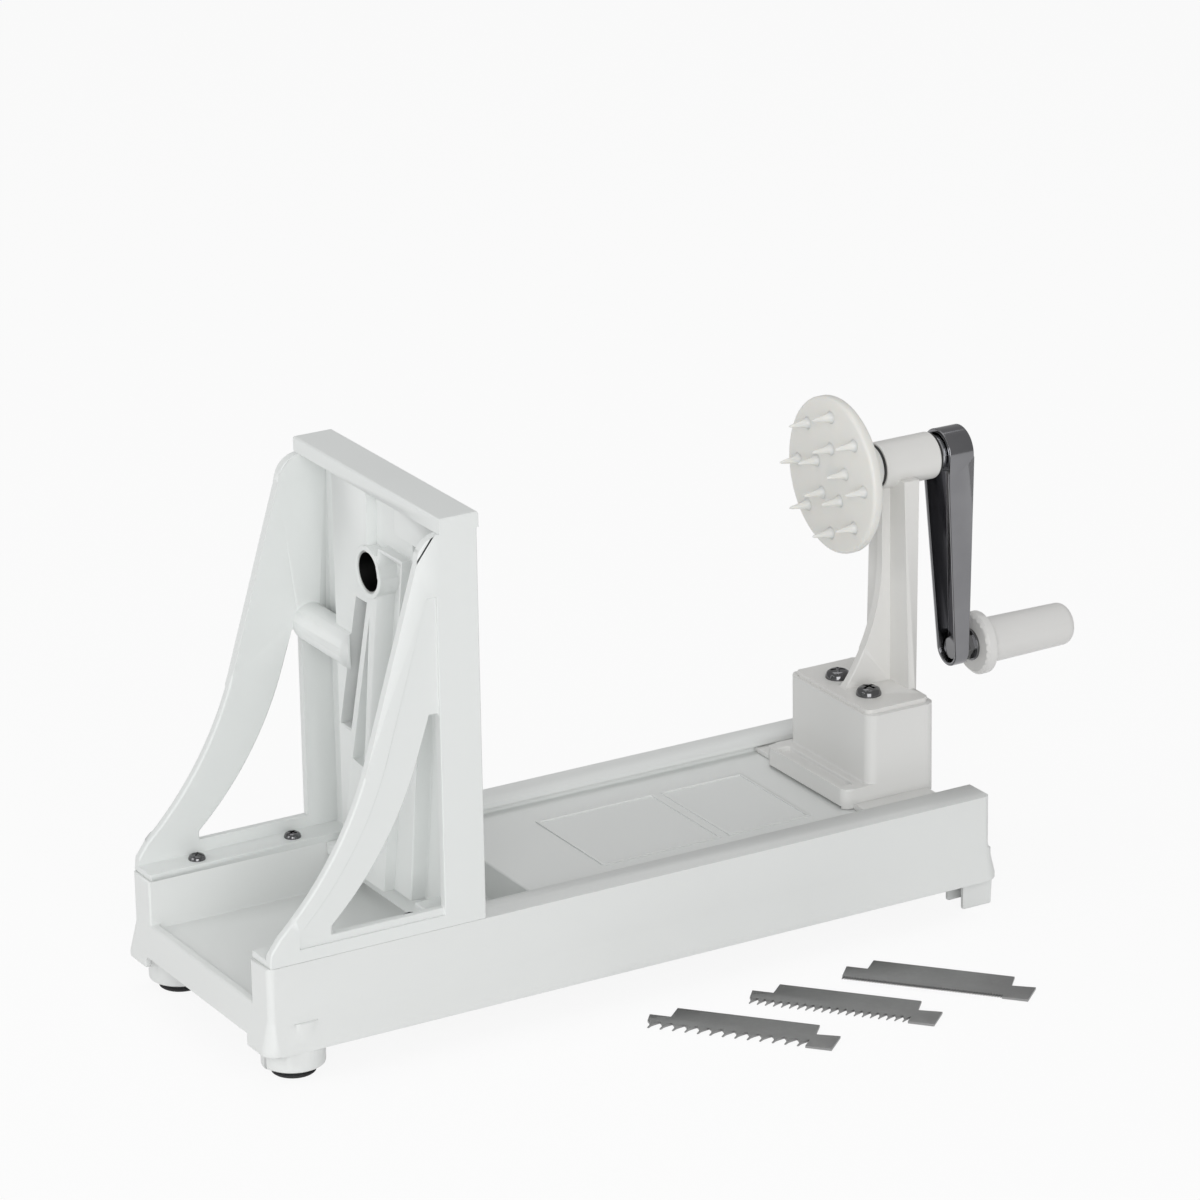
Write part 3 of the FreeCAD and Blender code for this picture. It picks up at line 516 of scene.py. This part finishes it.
foot_x = -155.0
foot_y = 50.0
black_rubber = plastic("black_foot_rubber", (0.022, 0.022, 0.024), (0.014, 0.014, 0.015),
                       roughness=0.55, skin_depth=0.00006)
stem_radius = 3.0
stem_end = 10.98
cup_top = 3.98
cup_profile = [(0, 0), (0, 7.3), (0.05, 8.5), (0.4, 8.95), (0.9, 9.0), (1.4, 8.75), (1.7, 8.3), (2.1, 8.2),
               (2.5, 8.2), (2.8, 8.35), (3.3, 8.2), (3.7, 7.8), (cup_top, 7.1), (cup_top, stem_radius),
               (10.7, stem_radius), (stem_end, 2.6), (stem_end, 0)]
feet = [turned_piece(f"foot_{k}", cup_profile, at(foot_x, y, 0)) for k, y in enumerate((-foot_y, foot_y))]
fit(joined("rubber_feet", feet), "base", black_rubber, "suction_feet")


# Blade frame: the upright moulding with its panel, two windowed gussets and a capping bar, in the same
# off-white plastic, screwed down on the rails through its two long foot flanges.
frame_plastic = plastic("white_frame_plastic", (0.80, 0.82, 0.81), (0.775, 0.795, 0.785),
                        roughness=0.32, flow_scale=18.0)
dress("blade_frame", "blade_frame_moulding", "base", frame_plastic, radius=0.0009)


# Screws: dark plated steel, with pan heads and a cross recess. Four small ones hold the frame's feet on
# the rails, and two large ones hold the crank bracket on its carriage.
def steel_surface():
    """Plated or ground steel: fine lines along one direction under a cloudy tone."""
    group, given, made = new_group(
        "steel_surface",
        [("Colour", "NodeSocketColor", (0.6, 0.6, 0.6, 1)),
         ("Dark Colour", "NodeSocketColor", (0.4, 0.4, 0.4, 1)),
         ("Line Stretch", "NodeSocketVector", (1, 1, 1)), ("Line Scale", "NodeSocketFloat", 500.0),
         ("Least Roughness", "NodeSocketFloat", 0.2)],
        [("Colour", "NodeSocketColor"), ("Roughness", "NodeSocketFloat"), ("Height", "NodeSocketFloat")])
    nodes, links = group.nodes, group.links
    place = nodes.new("ShaderNodeTexCoord")
    stretch = nodes.new("ShaderNodeVectorMath")
    lines = nodes.new("ShaderNodeTexNoise")
    cloud = nodes.new("ShaderNodeTexNoise")
    tint = nodes.new("ShaderNodeMix")
    mixed = nodes.new("ShaderNodeMath")
    rough = nodes.new("ShaderNodeMapRange")
    high = nodes.new("ShaderNodeMath")
    stretch.operation = "MULTIPLY"
    lines.inputs["Detail"].default_value = 2.0
    cloud.inputs["Scale"].default_value = 60.0
    cloud.inputs["Detail"].default_value = 3.0
    tint.data_type = "RGBA"
    mixed.operation = "MULTIPLY"
    high.operation = "MULTIPLY"
    high.inputs[1].default_value = 2.0
    links.new(place.outputs["Object"], stretch.inputs[0])
    links.new(given.outputs["Line Stretch"], stretch.inputs[1])
    links.new(stretch.outputs[0], lines.inputs["Vector"])
    links.new(given.outputs["Line Scale"], lines.inputs["Scale"])
    links.new(place.outputs["Object"], cloud.inputs["Vector"])
    links.new(lines.outputs["Fac"], mixed.inputs[0])
    links.new(cloud.outputs["Fac"], mixed.inputs[1])
    links.new(cloud.outputs["Fac"], tint.inputs["Factor"])
    links.new(given.outputs["Dark Colour"], tint.inputs["A"])
    links.new(given.outputs["Colour"], tint.inputs["B"])
    links.new(given.outputs["Least Roughness"], high.inputs[0])
    links.new(mixed.outputs[0], rough.inputs["Value"])
    links.new(given.outputs["Least Roughness"], rough.inputs["To Min"])
    links.new(high.outputs[0], rough.inputs["To Max"])
    links.new(tint.outputs["Result"], made.inputs["Colour"])
    links.new(rough.outputs["Result"], made.inputs["Roughness"])
    links.new(lines.outputs["Fac"], made.inputs["Height"])
    return group


steel_group = steel_surface()


def steel(name, colour, dark_colour, roughness, stretch=(1, 1, 1), line_scale=500.0, line_depth=0.00001):
    """A metal finish, given with its least roughness. Its fine lines run across the directions of the
    largest stretch."""
    material, nodes, links = new_material(name)
    out = nodes.new("ShaderNodeOutputMaterial")
    body = nodes.new("ShaderNodeBsdfPrincipled")
    bump = nodes.new("ShaderNodeBump")
    surface = nodes.new("ShaderNodeGroup")
    surface.node_tree = steel_group
    surface.inputs["Colour"].default_value = (*colour, 1)
    surface.inputs["Dark Colour"].default_value = (*dark_colour, 1)
    surface.inputs["Line Stretch"].default_value = stretch
    surface.inputs["Line Scale"].default_value = line_scale
    surface.inputs["Least Roughness"].default_value = roughness
    bump.inputs["Distance"].default_value = line_depth
    bump.inputs["Strength"].default_value = 0.5
    body.inputs["Metallic"].default_value = 1.0
    links.new(surface.outputs["Colour"], body.inputs["Base Color"])
    links.new(surface.outputs["Roughness"], body.inputs["Roughness"])
    links.new(surface.outputs["Height"], bump.inputs["Height"])
    links.new(bump.outputs["Normal"], body.inputs["Normal"])
    links.new(body.outputs[0], out.inputs["Surface"])
    return material


def tree_with(name, inputs):
    """A geometry tree with named inputs of the given kinds, and its input and output nodes."""
    tree = bpy.data.node_groups.new(name, "GeometryNodeTree")
    tree.interface.new_socket("Geometry", in_out="INPUT", socket_type="NodeSocketGeometry")
    for label, kind in inputs:
        tree.interface.new_socket(label, in_out="INPUT", socket_type=f"NodeSocket{kind}")
    tree.interface.new_socket("Geometry", in_out="OUTPUT", socket_type="NodeSocketGeometry")
    return tree, tree.nodes.new("NodeGroupInput"), tree.nodes.new("NodeGroupOutput")


def math_node(tree, operation, *values):
    """The result of one sum in a tree, from numbers and outputs of other nodes."""
    node = tree.nodes.new("ShaderNodeMath")
    node.operation = operation
    for index, value in enumerate(values):
        if isinstance(value, (int, float)):
            node.inputs[index].default_value = value
        else:
            tree.links.new(value, node.inputs[index])
    return node.outputs[0]


def vector_node(tree, x, y, z):
    """A vector in a tree, from numbers and outputs of other nodes."""
    node = tree.nodes.new("ShaderNodeCombineXYZ")
    for index, value in enumerate((x, y, z)):
        if isinstance(value, (int, float)):
            node.inputs[index].default_value = value
        else:
            tree.links.new(value, node.inputs[index])
    return node.outputs[0]


def grown(name, mesh, tree, values):
    """Runs a geometry tree on a start mesh with the given inputs and keeps the plain mesh."""
    start = bpy.data.objects.new(name, mesh)
    bpy.context.scene.collection.objects.link(start)
    modifier = start.modifiers.new(name, "NODES")
    modifier.node_group = tree
    for item in tree.interface.items_tree:
        if item.in_out == "INPUT" and item.name in values:
            modifier[item.identifier] = values[item.name]
    return plain(start)


def screw_tree():
    """A domed pan head with a cross sunk in it, on a plain shank, repeated at the points of a mesh."""
    tree, given, made = tree_with("pan_head_screws", [
        ("Head Radius", "Float"), ("Head Height", "Float"), ("Shank Radius", "Float"),
        ("Shank Length", "Float"), ("Recess Length", "Float"), ("Recess Width", "Float"),
        ("First Spin", "Float"), ("Spin Step", "Float"), ("Finish", "Material")])
    nodes, links = tree.nodes, tree.links
    read = given.outputs
    skirt_share = 0.18
    crown_power = 3.2
    skirt = math_node(tree, "MULTIPLY", read["Head Height"], skirt_share)
    head = nodes.new("GeometryNodeMeshCylinder")
    head.inputs["Vertices"].default_value = 40
    head.inputs["Fill Segments"].default_value = 9
    links.new(read["Head Radius"], head.inputs["Radius"])
    links.new(skirt, head.inputs["Depth"])
    spot = nodes.new("GeometryNodeInputPosition")
    parts = nodes.new("ShaderNodeSeparateXYZ")
    links.new(spot.outputs[0], parts.inputs[0])
    flat = vector_node(tree, parts.outputs[0], parts.outputs[1], 0.0)
    out_from = nodes.new("ShaderNodeVectorMath")
    out_from.operation = "LENGTH"
    links.new(flat, out_from.inputs[0])
    ratio = math_node(tree, "DIVIDE", out_from.outputs["Value"], read["Head Radius"])
    fallen = math_node(tree, "POWER", ratio, crown_power)
    left = math_node(tree, "MAXIMUM", math_node(tree, "SUBTRACT", 1.0, fallen), 0.0)
    crown = math_node(tree, "MULTIPLY", math_node(tree, "SQRT", left),
                      math_node(tree, "SUBTRACT", read["Head Height"], skirt))
    above = math_node(tree, "GREATER_THAN", parts.outputs[2], 0.0)
    lift = math_node(tree, "MULTIPLY", crown, above)
    domed = nodes.new("GeometryNodeSetPosition")
    links.new(head.outputs["Mesh"], domed.inputs["Geometry"])
    links.new(vector_node(tree, 0.0, 0.0, lift), domed.inputs["Offset"])
    cutters = nodes.new("GeometryNodeJoinGeometry")
    for turned_by in (0.0, math.pi / 2):
        bar = nodes.new("GeometryNodeMeshCube")
        links.new(vector_node(tree, read["Recess Length"], read["Recess Width"], read["Head Height"]),
                  bar.inputs["Size"])
        put = nodes.new("GeometryNodeTransform")
        put.inputs["Rotation"].default_value = (0, 0, turned_by)
        links.new(bar.outputs["Mesh"], put.inputs["Geometry"])
        links.new(vector_node(tree, 0.0, 0.0, read["Head Height"]), put.inputs["Translation"])
        links.new(put.outputs["Geometry"], cutters.inputs["Geometry"])
    sunk = nodes.new("GeometryNodeMeshBoolean")
    sunk.operation = "DIFFERENCE"
    sunk.solver = "EXACT"
    sunk.inputs["Self Intersection"].default_value = True
    links.new(domed.outputs["Geometry"], sunk.inputs["Mesh 1"])
    links.new(cutters.outputs["Geometry"], sunk.inputs["Mesh 2"])
    raised = nodes.new("GeometryNodeTransform")
    links.new(sunk.outputs["Mesh"], raised.inputs["Geometry"])
    links.new(vector_node(tree, 0.0, 0.0, math_node(tree, "MULTIPLY", skirt, 0.5)),
              raised.inputs["Translation"])
    shank = nodes.new("GeometryNodeMeshCylinder")
    shank.inputs["Vertices"].default_value = 24
    links.new(read["Shank Radius"], shank.inputs["Radius"])
    links.new(read["Shank Length"], shank.inputs["Depth"])
    lowered = nodes.new("GeometryNodeTransform")
    links.new(shank.outputs["Mesh"], lowered.inputs["Geometry"])
    links.new(vector_node(tree, 0.0, 0.0, math_node(tree, "MULTIPLY", read["Shank Length"], -0.5)),
              lowered.inputs["Translation"])
    screw = nodes.new("GeometryNodeJoinGeometry")
    links.new(raised.outputs["Geometry"], screw.inputs["Geometry"])
    links.new(lowered.outputs["Geometry"], screw.inputs["Geometry"])
    order = nodes.new("GeometryNodeInputIndex")
    spin = math_node(tree, "ADD", math_node(tree, "MULTIPLY", order.outputs[0], read["Spin Step"]),
                     read["First Spin"])
    spread = nodes.new("GeometryNodeInstanceOnPoints")
    links.new(read["Geometry"], spread.inputs["Points"])
    links.new(screw.outputs["Geometry"], spread.inputs["Instance"])
    links.new(vector_node(tree, 0.0, 0.0, spin), spread.inputs["Rotation"])
    solid = nodes.new("GeometryNodeRealizeInstances")
    finish = nodes.new("GeometryNodeSetMaterial")
    links.new(spread.outputs["Instances"], solid.inputs["Geometry"])
    links.new(solid.outputs["Geometry"], finish.inputs["Geometry"])
    links.new(read["Finish"], finish.inputs["Material"])
    links.new(finish.outputs["Geometry"], made.inputs["Geometry"])
    return tree


pan_head_screws = screw_tree()


def screws(name, places, head, shank, recess, spin_step, finish):
    """Screws with the undersides of their heads at the places. Head and shank are given as radius and
    length, and the recess as length and width."""
    spots = bpy.data.meshes.new(name)
    spots.from_pydata(places, [], [])
    piece = grown(name, spots, pan_head_screws, {
        "Head Radius": head[0], "Head Height": head[1],
        "Shank Radius": shank[0], "Shank Length": shank[1],
        "Recess Length": recess[0], "Recess Width": recess[1], "First Spin": 0.35, "Spin Step": spin_step,
        "Finish": finish})
    for face in piece.data.polygons:
        face.use_smooth = True
    piece.data.set_sharp_from_angle(angle=crease)
    return piece


foot_flange_top = 53.0
foot_screw_y = 50.8
bracket_plate_top = 86.1
bracket_screw_x = 140.5
bracket_screw_y = 12.0
screw_plating = steel("bright_screw_plating", (0.20, 0.20, 0.205), (0.11, 0.11, 0.115),
                      roughness=0.10, line_scale=900.0)
foot_places = [at(x, y, foot_flange_top) for x in (-145.0, -101.0) for y in (-foot_screw_y, foot_screw_y)]
foot_screws = screws("frame_foot_screws", foot_places, head=(0.0036, 0.0022), shank=(0.00175, 0.0099),
                     recess=(0.0040, 0.0009), spin_step=0.6, finish=screw_plating)
fit(foot_screws, "base", screw_plating, "frame_screws")
bracket_places = [at(bracket_screw_x, y, bracket_plate_top) for y in (-bracket_screw_y, bracket_screw_y)]
bracket_screws = screws("bracket_fixing_screws", bracket_places, head=(0.0054, 0.0036),
                        shank=(0.0025, 0.0139), recess=(0.0062, 0.0013), spin_step=0.8,
                        finish=screw_plating)
fit(bracket_screws, "carriage", screw_plating, "bracket_screws")


# Core tube: a short steel tube, turned with a sharp rim on the cutting side and pressed through the
# panel on the crank's axis. Its bore is coloured near-black and dull as painted shade inside the tube.
crank_axis = 181.8
bore_radius = 8.1
tube_steel = steel("core_tube_steel", (0.50, 0.50, 0.49), (0.34, 0.34, 0.33),
                   roughness=0.24, stretch=(1, 6, 6), line_scale=420.0)
# Painted shade: the bore's faces get a near-black steel that stands in for the shade inside the tube.
bore_painted_shade_steel = steel("core_bore_painted_shade", (0.055, 0.055, 0.055), (0.03, 0.03, 0.03),
                   roughness=0.35, stretch=(1, 6, 6), line_scale=420.0)
tube_wall = [(-88.4, bore_radius), (-88.4, 8.55), (-88.2, 8.7), (-67.6, 8.7), (-66.0, 8.14),
             (-66.0, bore_radius)]
core = turned_piece("core_cutting_tube", tube_wall, at(0, 0, crank_axis), "X", 96)
core.data.materials.append(tube_steel)
core.data.materials.append(bore_painted_shade_steel)
for face in core.data.polygons:
    from_axis = face.center - at(0, 0, crank_axis)
    in_bore = Vector((0, from_axis.y, from_axis.z)).length < (bore_radius + 0.05) / 1000
    face.material_index = 1 if in_bore else 0
fit(core, "base", tube_steel, "core_tube")


# Main blade: a strip of ground steel, held slantwise across its slot in a seat of the panel, with its
# edge just proud of the panel's face.
blade_steel = steel("main_blade_steel", (0.27, 0.275, 0.28), (0.19, 0.195, 0.20),
                    roughness=0.30, stretch=(1, 1, 14), line_scale=300.0)
dress("main_blade", "main_cutting_blade", "base", blade_steel, radius=0.00035)


# Carriage: a hollow plastic block with a grooved flange in front, sliding on the deck with its tongues
# under the rails. It is a slightly warmer white than the base.
warm_plastic = plastic("carriage_plastic", (0.775, 0.775, 0.76), (0.745, 0.745, 0.73), roughness=0.30)
dress("carriage", "carriage_block", "carriage", warm_plastic, radius=0.0008)


# Crank bracket: plate, curved fin, tapering post and bearing tube in one warm white moulding, fixed on
# the carriage by two screws.
bracket_plastic = plastic("bracket_plastic", (0.79, 0.785, 0.765), (0.76, 0.755, 0.735),
                          roughness=0.28, flow_scale=22.0)
dress("crank_bracket", "crank_bracket_moulding", "carriage", bracket_plastic, radius=0.0007)


# Bushes and washers: two turned brass bushes pressed into the bearing tube, and a thin washer on the
# shaft at each of its ends, coloured near-black as painted shade for the dark gap at each end of the tube.
bush_length = 8.0
bush_bore = 4.06
bush_radius = 6.5
washer_bore = 4.0
bush_brass = steel("bush_brass_metal", (0.72, 0.56, 0.28), (0.60, 0.45, 0.20), roughness=0.25)
for node, start in (("front_bush", 151.5), ("rear_bush", 170.5)):
    end = start + bush_length
    ring = [(start, bush_bore), (start + 0.3, bush_bore), (end - 0.3, bush_bore), (end, 4.3), (end, 6.3),
            (end - 0.2, bush_radius), (start + 0.2, bush_radius), (start, 6.3)]
    bush = turned_piece(f"turned_{node}", ring, at(0, 0, crank_axis), "X")
    fit(bush, "carriage", bush_brass, node)
# Painted shade: the washers are near-black to stand in for the shadow gap at each end of the bearing tube.
washer_painted_shade = plastic("washer_painted_shade_plastic", (0.03, 0.03, 0.03), (0.02, 0.02, 0.02), roughness=0.45)
for node in ("front_washer", "rear_washer"):
    low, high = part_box(node)
    start, end = ((value - base_middle.x) * 1000 for value in (low.x, high.x))
    ring = [(start, washer_bore), (end, washer_bore), (end, 9.1), (end - 0.2, 9.35), (start + 0.2, 9.4),
            (start, 9.1)]
    washer = turned_piece(f"thin_{node}", ring, at(0, 0, crank_axis), "X")
    fit(washer, "crank", washer_painted_shade, node)


# Crank shaft: a turned and plated steel rod in the two bushes. It carries the disc at one end and the
# arm with its nut at the other. Its CAD form is kept.
shaft_steel = steel("crank_shaft_steel", (0.62, 0.63, 0.65), (0.50, 0.51, 0.53),
                    roughness=0.16, stretch=(1, 8, 8))
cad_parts["crank_shaft"].data.materials.clear()
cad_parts["crank_shaft"].data.materials.append(shaft_steel)


# Spiked disc: a milky plastic disc with a hub behind and two rings of blunt moulded spikes in front,
# eight outside and five inside, each with a small fillet at its root.
def spike_tree():
    """Two rings of spikes on a disc, each a cone that flares at its root and rounds off at its tip."""
    tree, given, made = tree_with("disc_spikes", [
        ("Outer Count", "Int"), ("Outer Ring", "Float"), ("Inner Count", "Int"), ("Inner Ring", "Float"),
        ("Length", "Float"), ("Root Radius", "Float"), ("Tip Radius", "Float"), ("Finish", "Material")])
    nodes, links = tree.nodes, tree.links
    read = given.outputs
    body = nodes.new("GeometryNodeMeshCone")
    body.inputs["Vertices"].default_value = 20
    body.inputs["Side Segments"].default_value = 14
    body.inputs["Fill Segments"].default_value = 2
    links.new(read["Length"], body.inputs["Depth"])
    links.new(read["Tip Radius"], body.inputs["Radius Top"])
    links.new(read["Root Radius"], body.inputs["Radius Bottom"])
    spot = nodes.new("GeometryNodeInputPosition")
    parts = nodes.new("ShaderNodeSeparateXYZ")
    links.new(spot.outputs[0], parts.inputs[0])
    up = math_node(tree, "DIVIDE", parts.outputs[2], read["Length"])
    flare, flare_power = 0.45, 9.0
    rounding, rounding_power = 0.55, 24.0
    down = math_node(tree, "MAXIMUM", math_node(tree, "SUBTRACT", 1.0, up), 0.0)
    root = math_node(tree, "POWER", down, flare_power)
    tip = math_node(tree, "POWER", math_node(tree, "MAXIMUM", up, 0.0), rounding_power)
    swell = math_node(tree, "SUBTRACT", math_node(tree, "MULTIPLY", root, flare),
                      math_node(tree, "MULTIPLY", tip, rounding))
    wider_x = math_node(tree, "MULTIPLY", parts.outputs[0], swell)
    wider_y = math_node(tree, "MULTIPLY", parts.outputs[1], swell)
    shaped = nodes.new("GeometryNodeSetPosition")
    links.new(body.outputs["Mesh"], shaped.inputs["Geometry"])
    links.new(vector_node(tree, wider_x, wider_y, 0.0), shaped.inputs["Offset"])
    rings = nodes.new("GeometryNodeJoinGeometry")
    for count, radius in (("Outer Count", "Outer Ring"), ("Inner Count", "Inner Ring")):
        circle = nodes.new("GeometryNodeMeshCircle")
        links.new(read[count], circle.inputs["Vertices"])
        links.new(read[radius], circle.inputs["Radius"])
        links.new(circle.outputs["Mesh"], rings.inputs["Geometry"])
    spread = nodes.new("GeometryNodeInstanceOnPoints")
    links.new(rings.outputs["Geometry"], spread.inputs["Points"])
    links.new(shaped.outputs["Geometry"], spread.inputs["Instance"])
    both = nodes.new("GeometryNodeJoinGeometry")
    links.new(read["Geometry"], both.inputs["Geometry"])
    links.new(spread.outputs["Instances"], both.inputs["Geometry"])
    solid = nodes.new("GeometryNodeRealizeInstances")
    finish = nodes.new("GeometryNodeSetMaterial")
    links.new(both.outputs["Geometry"], solid.inputs["Geometry"])
    links.new(solid.outputs["Geometry"], finish.inputs["Geometry"])
    links.new(read["Finish"], finish.inputs["Material"])
    links.new(finish.outputs["Geometry"], made.inputs["Geometry"])
    return tree


disc_front = 129.5
disc_radius = 33.4
disc_back = -4.8
hub_end = -20.75
shaft_seat = -2.05
seat_radius = 4.02
disc_crease = math.radians(40)
disc_plastic = plastic("disc_milky_plastic", (0.80, 0.795, 0.765), (0.77, 0.765, 0.73),
                       roughness=0.28, glow_through=0.35)
disc_profile = [(0, 0), (0, 31.8), (-0.15, 32.6), (-0.6, 33.2), (-1.2, disc_radius), (-3.6, disc_radius),
                (-4.25, 33.15), (-4.65, 32.6), (disc_back, 31.8), (disc_back, 12.4), (-5.2, 11.6),
                (-6.2, 10.8), (-7.6, 9.8), (-8.9, 9.25), (-20.6, 9.2), (hub_end, 9.0),
                (hub_end, seat_radius), (shaft_seat, seat_radius), (shaft_seat, 0)]
plate = turned_piece("spiked_disc_plate", disc_profile, Vector((0, 0, 0)), "Z", 128)
spiked = grown("spiked_drive_disc", plate.data, spike_tree(), {
    "Outer Count": 8, "Outer Ring": 0.0254, "Inner Count": 5, "Inner Ring": 0.0116, "Length": 0.009,
    "Root Radius": 0.0019, "Tip Radius": 0.0005, "Finish": disc_plastic})
bpy.data.objects.remove(plate)
spiked.data.transform(Matrix.Rotation(math.radians(-90), 4, "Y"))
spiked.data.transform(Matrix.Translation(at(disc_front, 0.0, crank_axis)))
spiked.data.set_sharp_from_angle(angle=disc_crease)
fit(spiked, "crank", disc_plastic, "spiked_disc")


# Crank arm: a tapered channel of pressed steel with a dark polished plating. A turned steel boss in its
# head sits on the shaft, and a hexagon nut holds both.
arm_plating = steel("arm_dark_plating", (0.27, 0.27, 0.28), (0.19, 0.19, 0.20),
                    roughness=0.12, stretch=(2, 2, 0.3), line_scale=260.0, line_depth=0.000004)
dress("crank_arm", "crank_arm_channel", "crank", arm_plating, radius=0.0005)
dress("arm_boss", "arm_turned_boss", "crank", shaft_steel, radius=0.0004)
dress("crank_nut", "crank_hex_nut", "crank", shaft_steel, radius=0.0004)


# Handle: a plated bolt with its nut and washer through the foot of the arm, and a turned plastic grip
# with a bevelled flange that turns on the bolt.
pin_steel = steel("handle_pin_steel", (0.24, 0.24, 0.245), (0.14, 0.14, 0.145),
                  roughness=0.12, stretch=(1, 8, 8))
dress("handle_bolt", "handle_pin_bolt", "crank", pin_steel, radius=0.0003)
dress("handle_nut", "handle_hex_nut", "crank", pin_steel, radius=0.0004)
dress("handle_washer", "handle_flat_washer", "crank", pin_steel, radius=0.0002)
grip_plastic = plastic("grip_plastic", (0.775, 0.77, 0.755), (0.745, 0.74, 0.725), roughness=0.30)
dress("handle_grip", "turning_grip", "grip", grip_plastic, radius=0.0006)


# Loose comb blades: three stamped steel sheets, each with a narrow back, a toothed edge and a plain tab.
# Every tooth is a saw point with hollow sides, leaning a little and ground thinner toward its tip.
def comb_tree():
    """A row of teeth along a sheet, each a block drawn to a hollow-sided and leaning point."""
    tree, given, made = tree_with("comb_teeth", [
        ("Count", "Int"), ("Pitch", "Float"), ("First", "Vector"), ("Tooth Length", "Float"),
        ("Sheet", "Float"), ("Tip Share", "Float"), ("Hollow", "Float"), ("Lean", "Float"),
        ("Finish", "Material")])
    nodes, links = tree.nodes, tree.links
    read = given.outputs
    blank = nodes.new("GeometryNodeMeshCube")
    blank.inputs["Size"].default_value = (1, 1, 1)
    blank.inputs["Vertices X"].default_value = 3
    blank.inputs["Vertices Y"].default_value = 9
    blank.inputs["Vertices Z"].default_value = 2
    spot = nodes.new("GeometryNodeInputPosition")
    parts = nodes.new("ShaderNodeSeparateXYZ")
    links.new(spot.outputs[0], parts.inputs[0])
    out = math_node(tree, "SUBTRACT", 0.5, parts.outputs[1])
    narrowing = math_node(tree, "POWER", math_node(tree, "SUBTRACT", 1.0001, out), read["Hollow"])
    width_share = math_node(tree, "MAXIMUM", narrowing, read["Tip Share"])
    width = math_node(tree, "MULTIPLY", width_share, read["Pitch"])
    lean = math_node(tree, "MULTIPLY", math_node(tree, "MULTIPLY", out, out), read["Lean"])
    x = math_node(tree, "ADD", math_node(tree, "MULTIPLY", parts.outputs[0], width), lean)
    overlap = 0.0002
    ground_share = 0.6
    whole_length = math_node(tree, "ADD", read["Tooth Length"], overlap)
    y = math_node(tree, "SUBTRACT", overlap, math_node(tree, "MULTIPLY", out, whole_length))
    ground_off = math_node(tree, "MULTIPLY", math_node(tree, "MULTIPLY", out, out), ground_share)
    thin = math_node(tree, "SUBTRACT", 1.0, ground_off)
    z = math_node(tree, "MULTIPLY", math_node(tree, "MULTIPLY", parts.outputs[2], thin), read["Sheet"])
    tooth = nodes.new("GeometryNodeSetPosition")
    links.new(blank.outputs["Mesh"], tooth.inputs["Geometry"])
    links.new(vector_node(tree, x, y, z), tooth.inputs["Position"])
    row = nodes.new("GeometryNodeMeshLine")
    links.new(read["Count"], row.inputs["Count"])
    links.new(read["First"], row.inputs["Start Location"])
    links.new(vector_node(tree, read["Pitch"], 0.0, 0.0), row.inputs["Offset"])
    spread = nodes.new("GeometryNodeInstanceOnPoints")
    links.new(row.outputs["Mesh"], spread.inputs["Points"])
    links.new(tooth.outputs["Geometry"], spread.inputs["Instance"])
    both = nodes.new("GeometryNodeJoinGeometry")
    links.new(read["Geometry"], both.inputs["Geometry"])
    links.new(spread.outputs["Instances"], both.inputs["Geometry"])
    solid = nodes.new("GeometryNodeRealizeInstances")
    finish = nodes.new("GeometryNodeSetMaterial")
    links.new(both.outputs["Geometry"], solid.inputs["Geometry"])
    links.new(solid.outputs["Geometry"], finish.inputs["Geometry"])
    links.new(read["Finish"], finish.inputs["Material"])
    links.new(finish.outputs["Geometry"], made.inputs["Geometry"])
    return tree


comb_depth = 21.0
comb_thickness = 1.0
toothed_length = 68.0
toothed_start = -8.0
comb_turn = math.radians(-48.7)


def comb_sheet(name, tooth_length):
    """The sheet without its teeth, in its own place: back along X and teeth toward -Y."""
    root = comb_depth - tooth_length
    outline = [(0, 0), (60, 0), (61, 9), (71, 8), (71, comb_depth), (60, comb_depth), (60, root),
               (toothed_start, root), (-9, 9), (0, 9)]
    bm = bmesh.new()
    corners = [bm.verts.new((x / 1000, -y / 1000, 0)) for x, y in outline]
    face = bm.faces.new(corners)
    grown_out = bmesh.ops.extrude_face_region(bm, geom=[face])
    upper = [part for part in grown_out["geom"] if isinstance(part, bmesh.types.BMVert)]
    bmesh.ops.translate(bm, verts=upper, vec=(0, 0, comb_thickness / 1000))
    bmesh.ops.recalc_face_normals(bm, faces=bm.faces)
    bmesh.ops.bevel(bm, geom=list(bm.edges), offset=0.00014, segments=2, affect="EDGES", profile=0.6)
    mesh = bpy.data.meshes.new(name)
    bm.to_mesh(mesh)
    bm.free()
    return mesh


comb_steel = steel("comb_blade_steel", (0.36, 0.36, 0.36), (0.25, 0.25, 0.25), roughness=0.34)
comb_teeth = comb_tree()
for node, place, count, tooth_length, hollow in (("comb_coarse", (3.5, -82.0), 13, 6.0, 2.0),
                                                 ("comb_medium", (51.0, -84.0), 20, 5.0, 1.7),
                                                 ("comb_fine", (96.5, -84.0), 58, 2.2, 1.2)):
    pitch = toothed_length / count
    first_tooth = Vector((toothed_start + pitch / 2, tooth_length - comb_depth, comb_thickness / 2))
    comb = grown(f"{node}_sheet", comb_sheet(node, tooth_length), comb_teeth, {
        "Count": count, "Pitch": pitch / 1000, "Tooth Length": tooth_length / 1000,
        "Sheet": comb_thickness / 1000, "First": first_tooth / 1000, "Tip Share": 0.12, "Hollow": hollow,
        "Lean": -0.1 * pitch / 1000, "Finish": comb_steel})
    comb.data.transform(Matrix.Translation(at(*place, 0)) @ Matrix.Rotation(comb_turn, 4, "Z"))
    comb.data.set_sharp_from_angle(angle=crease)
    fit(comb, node, comb_steel, node)
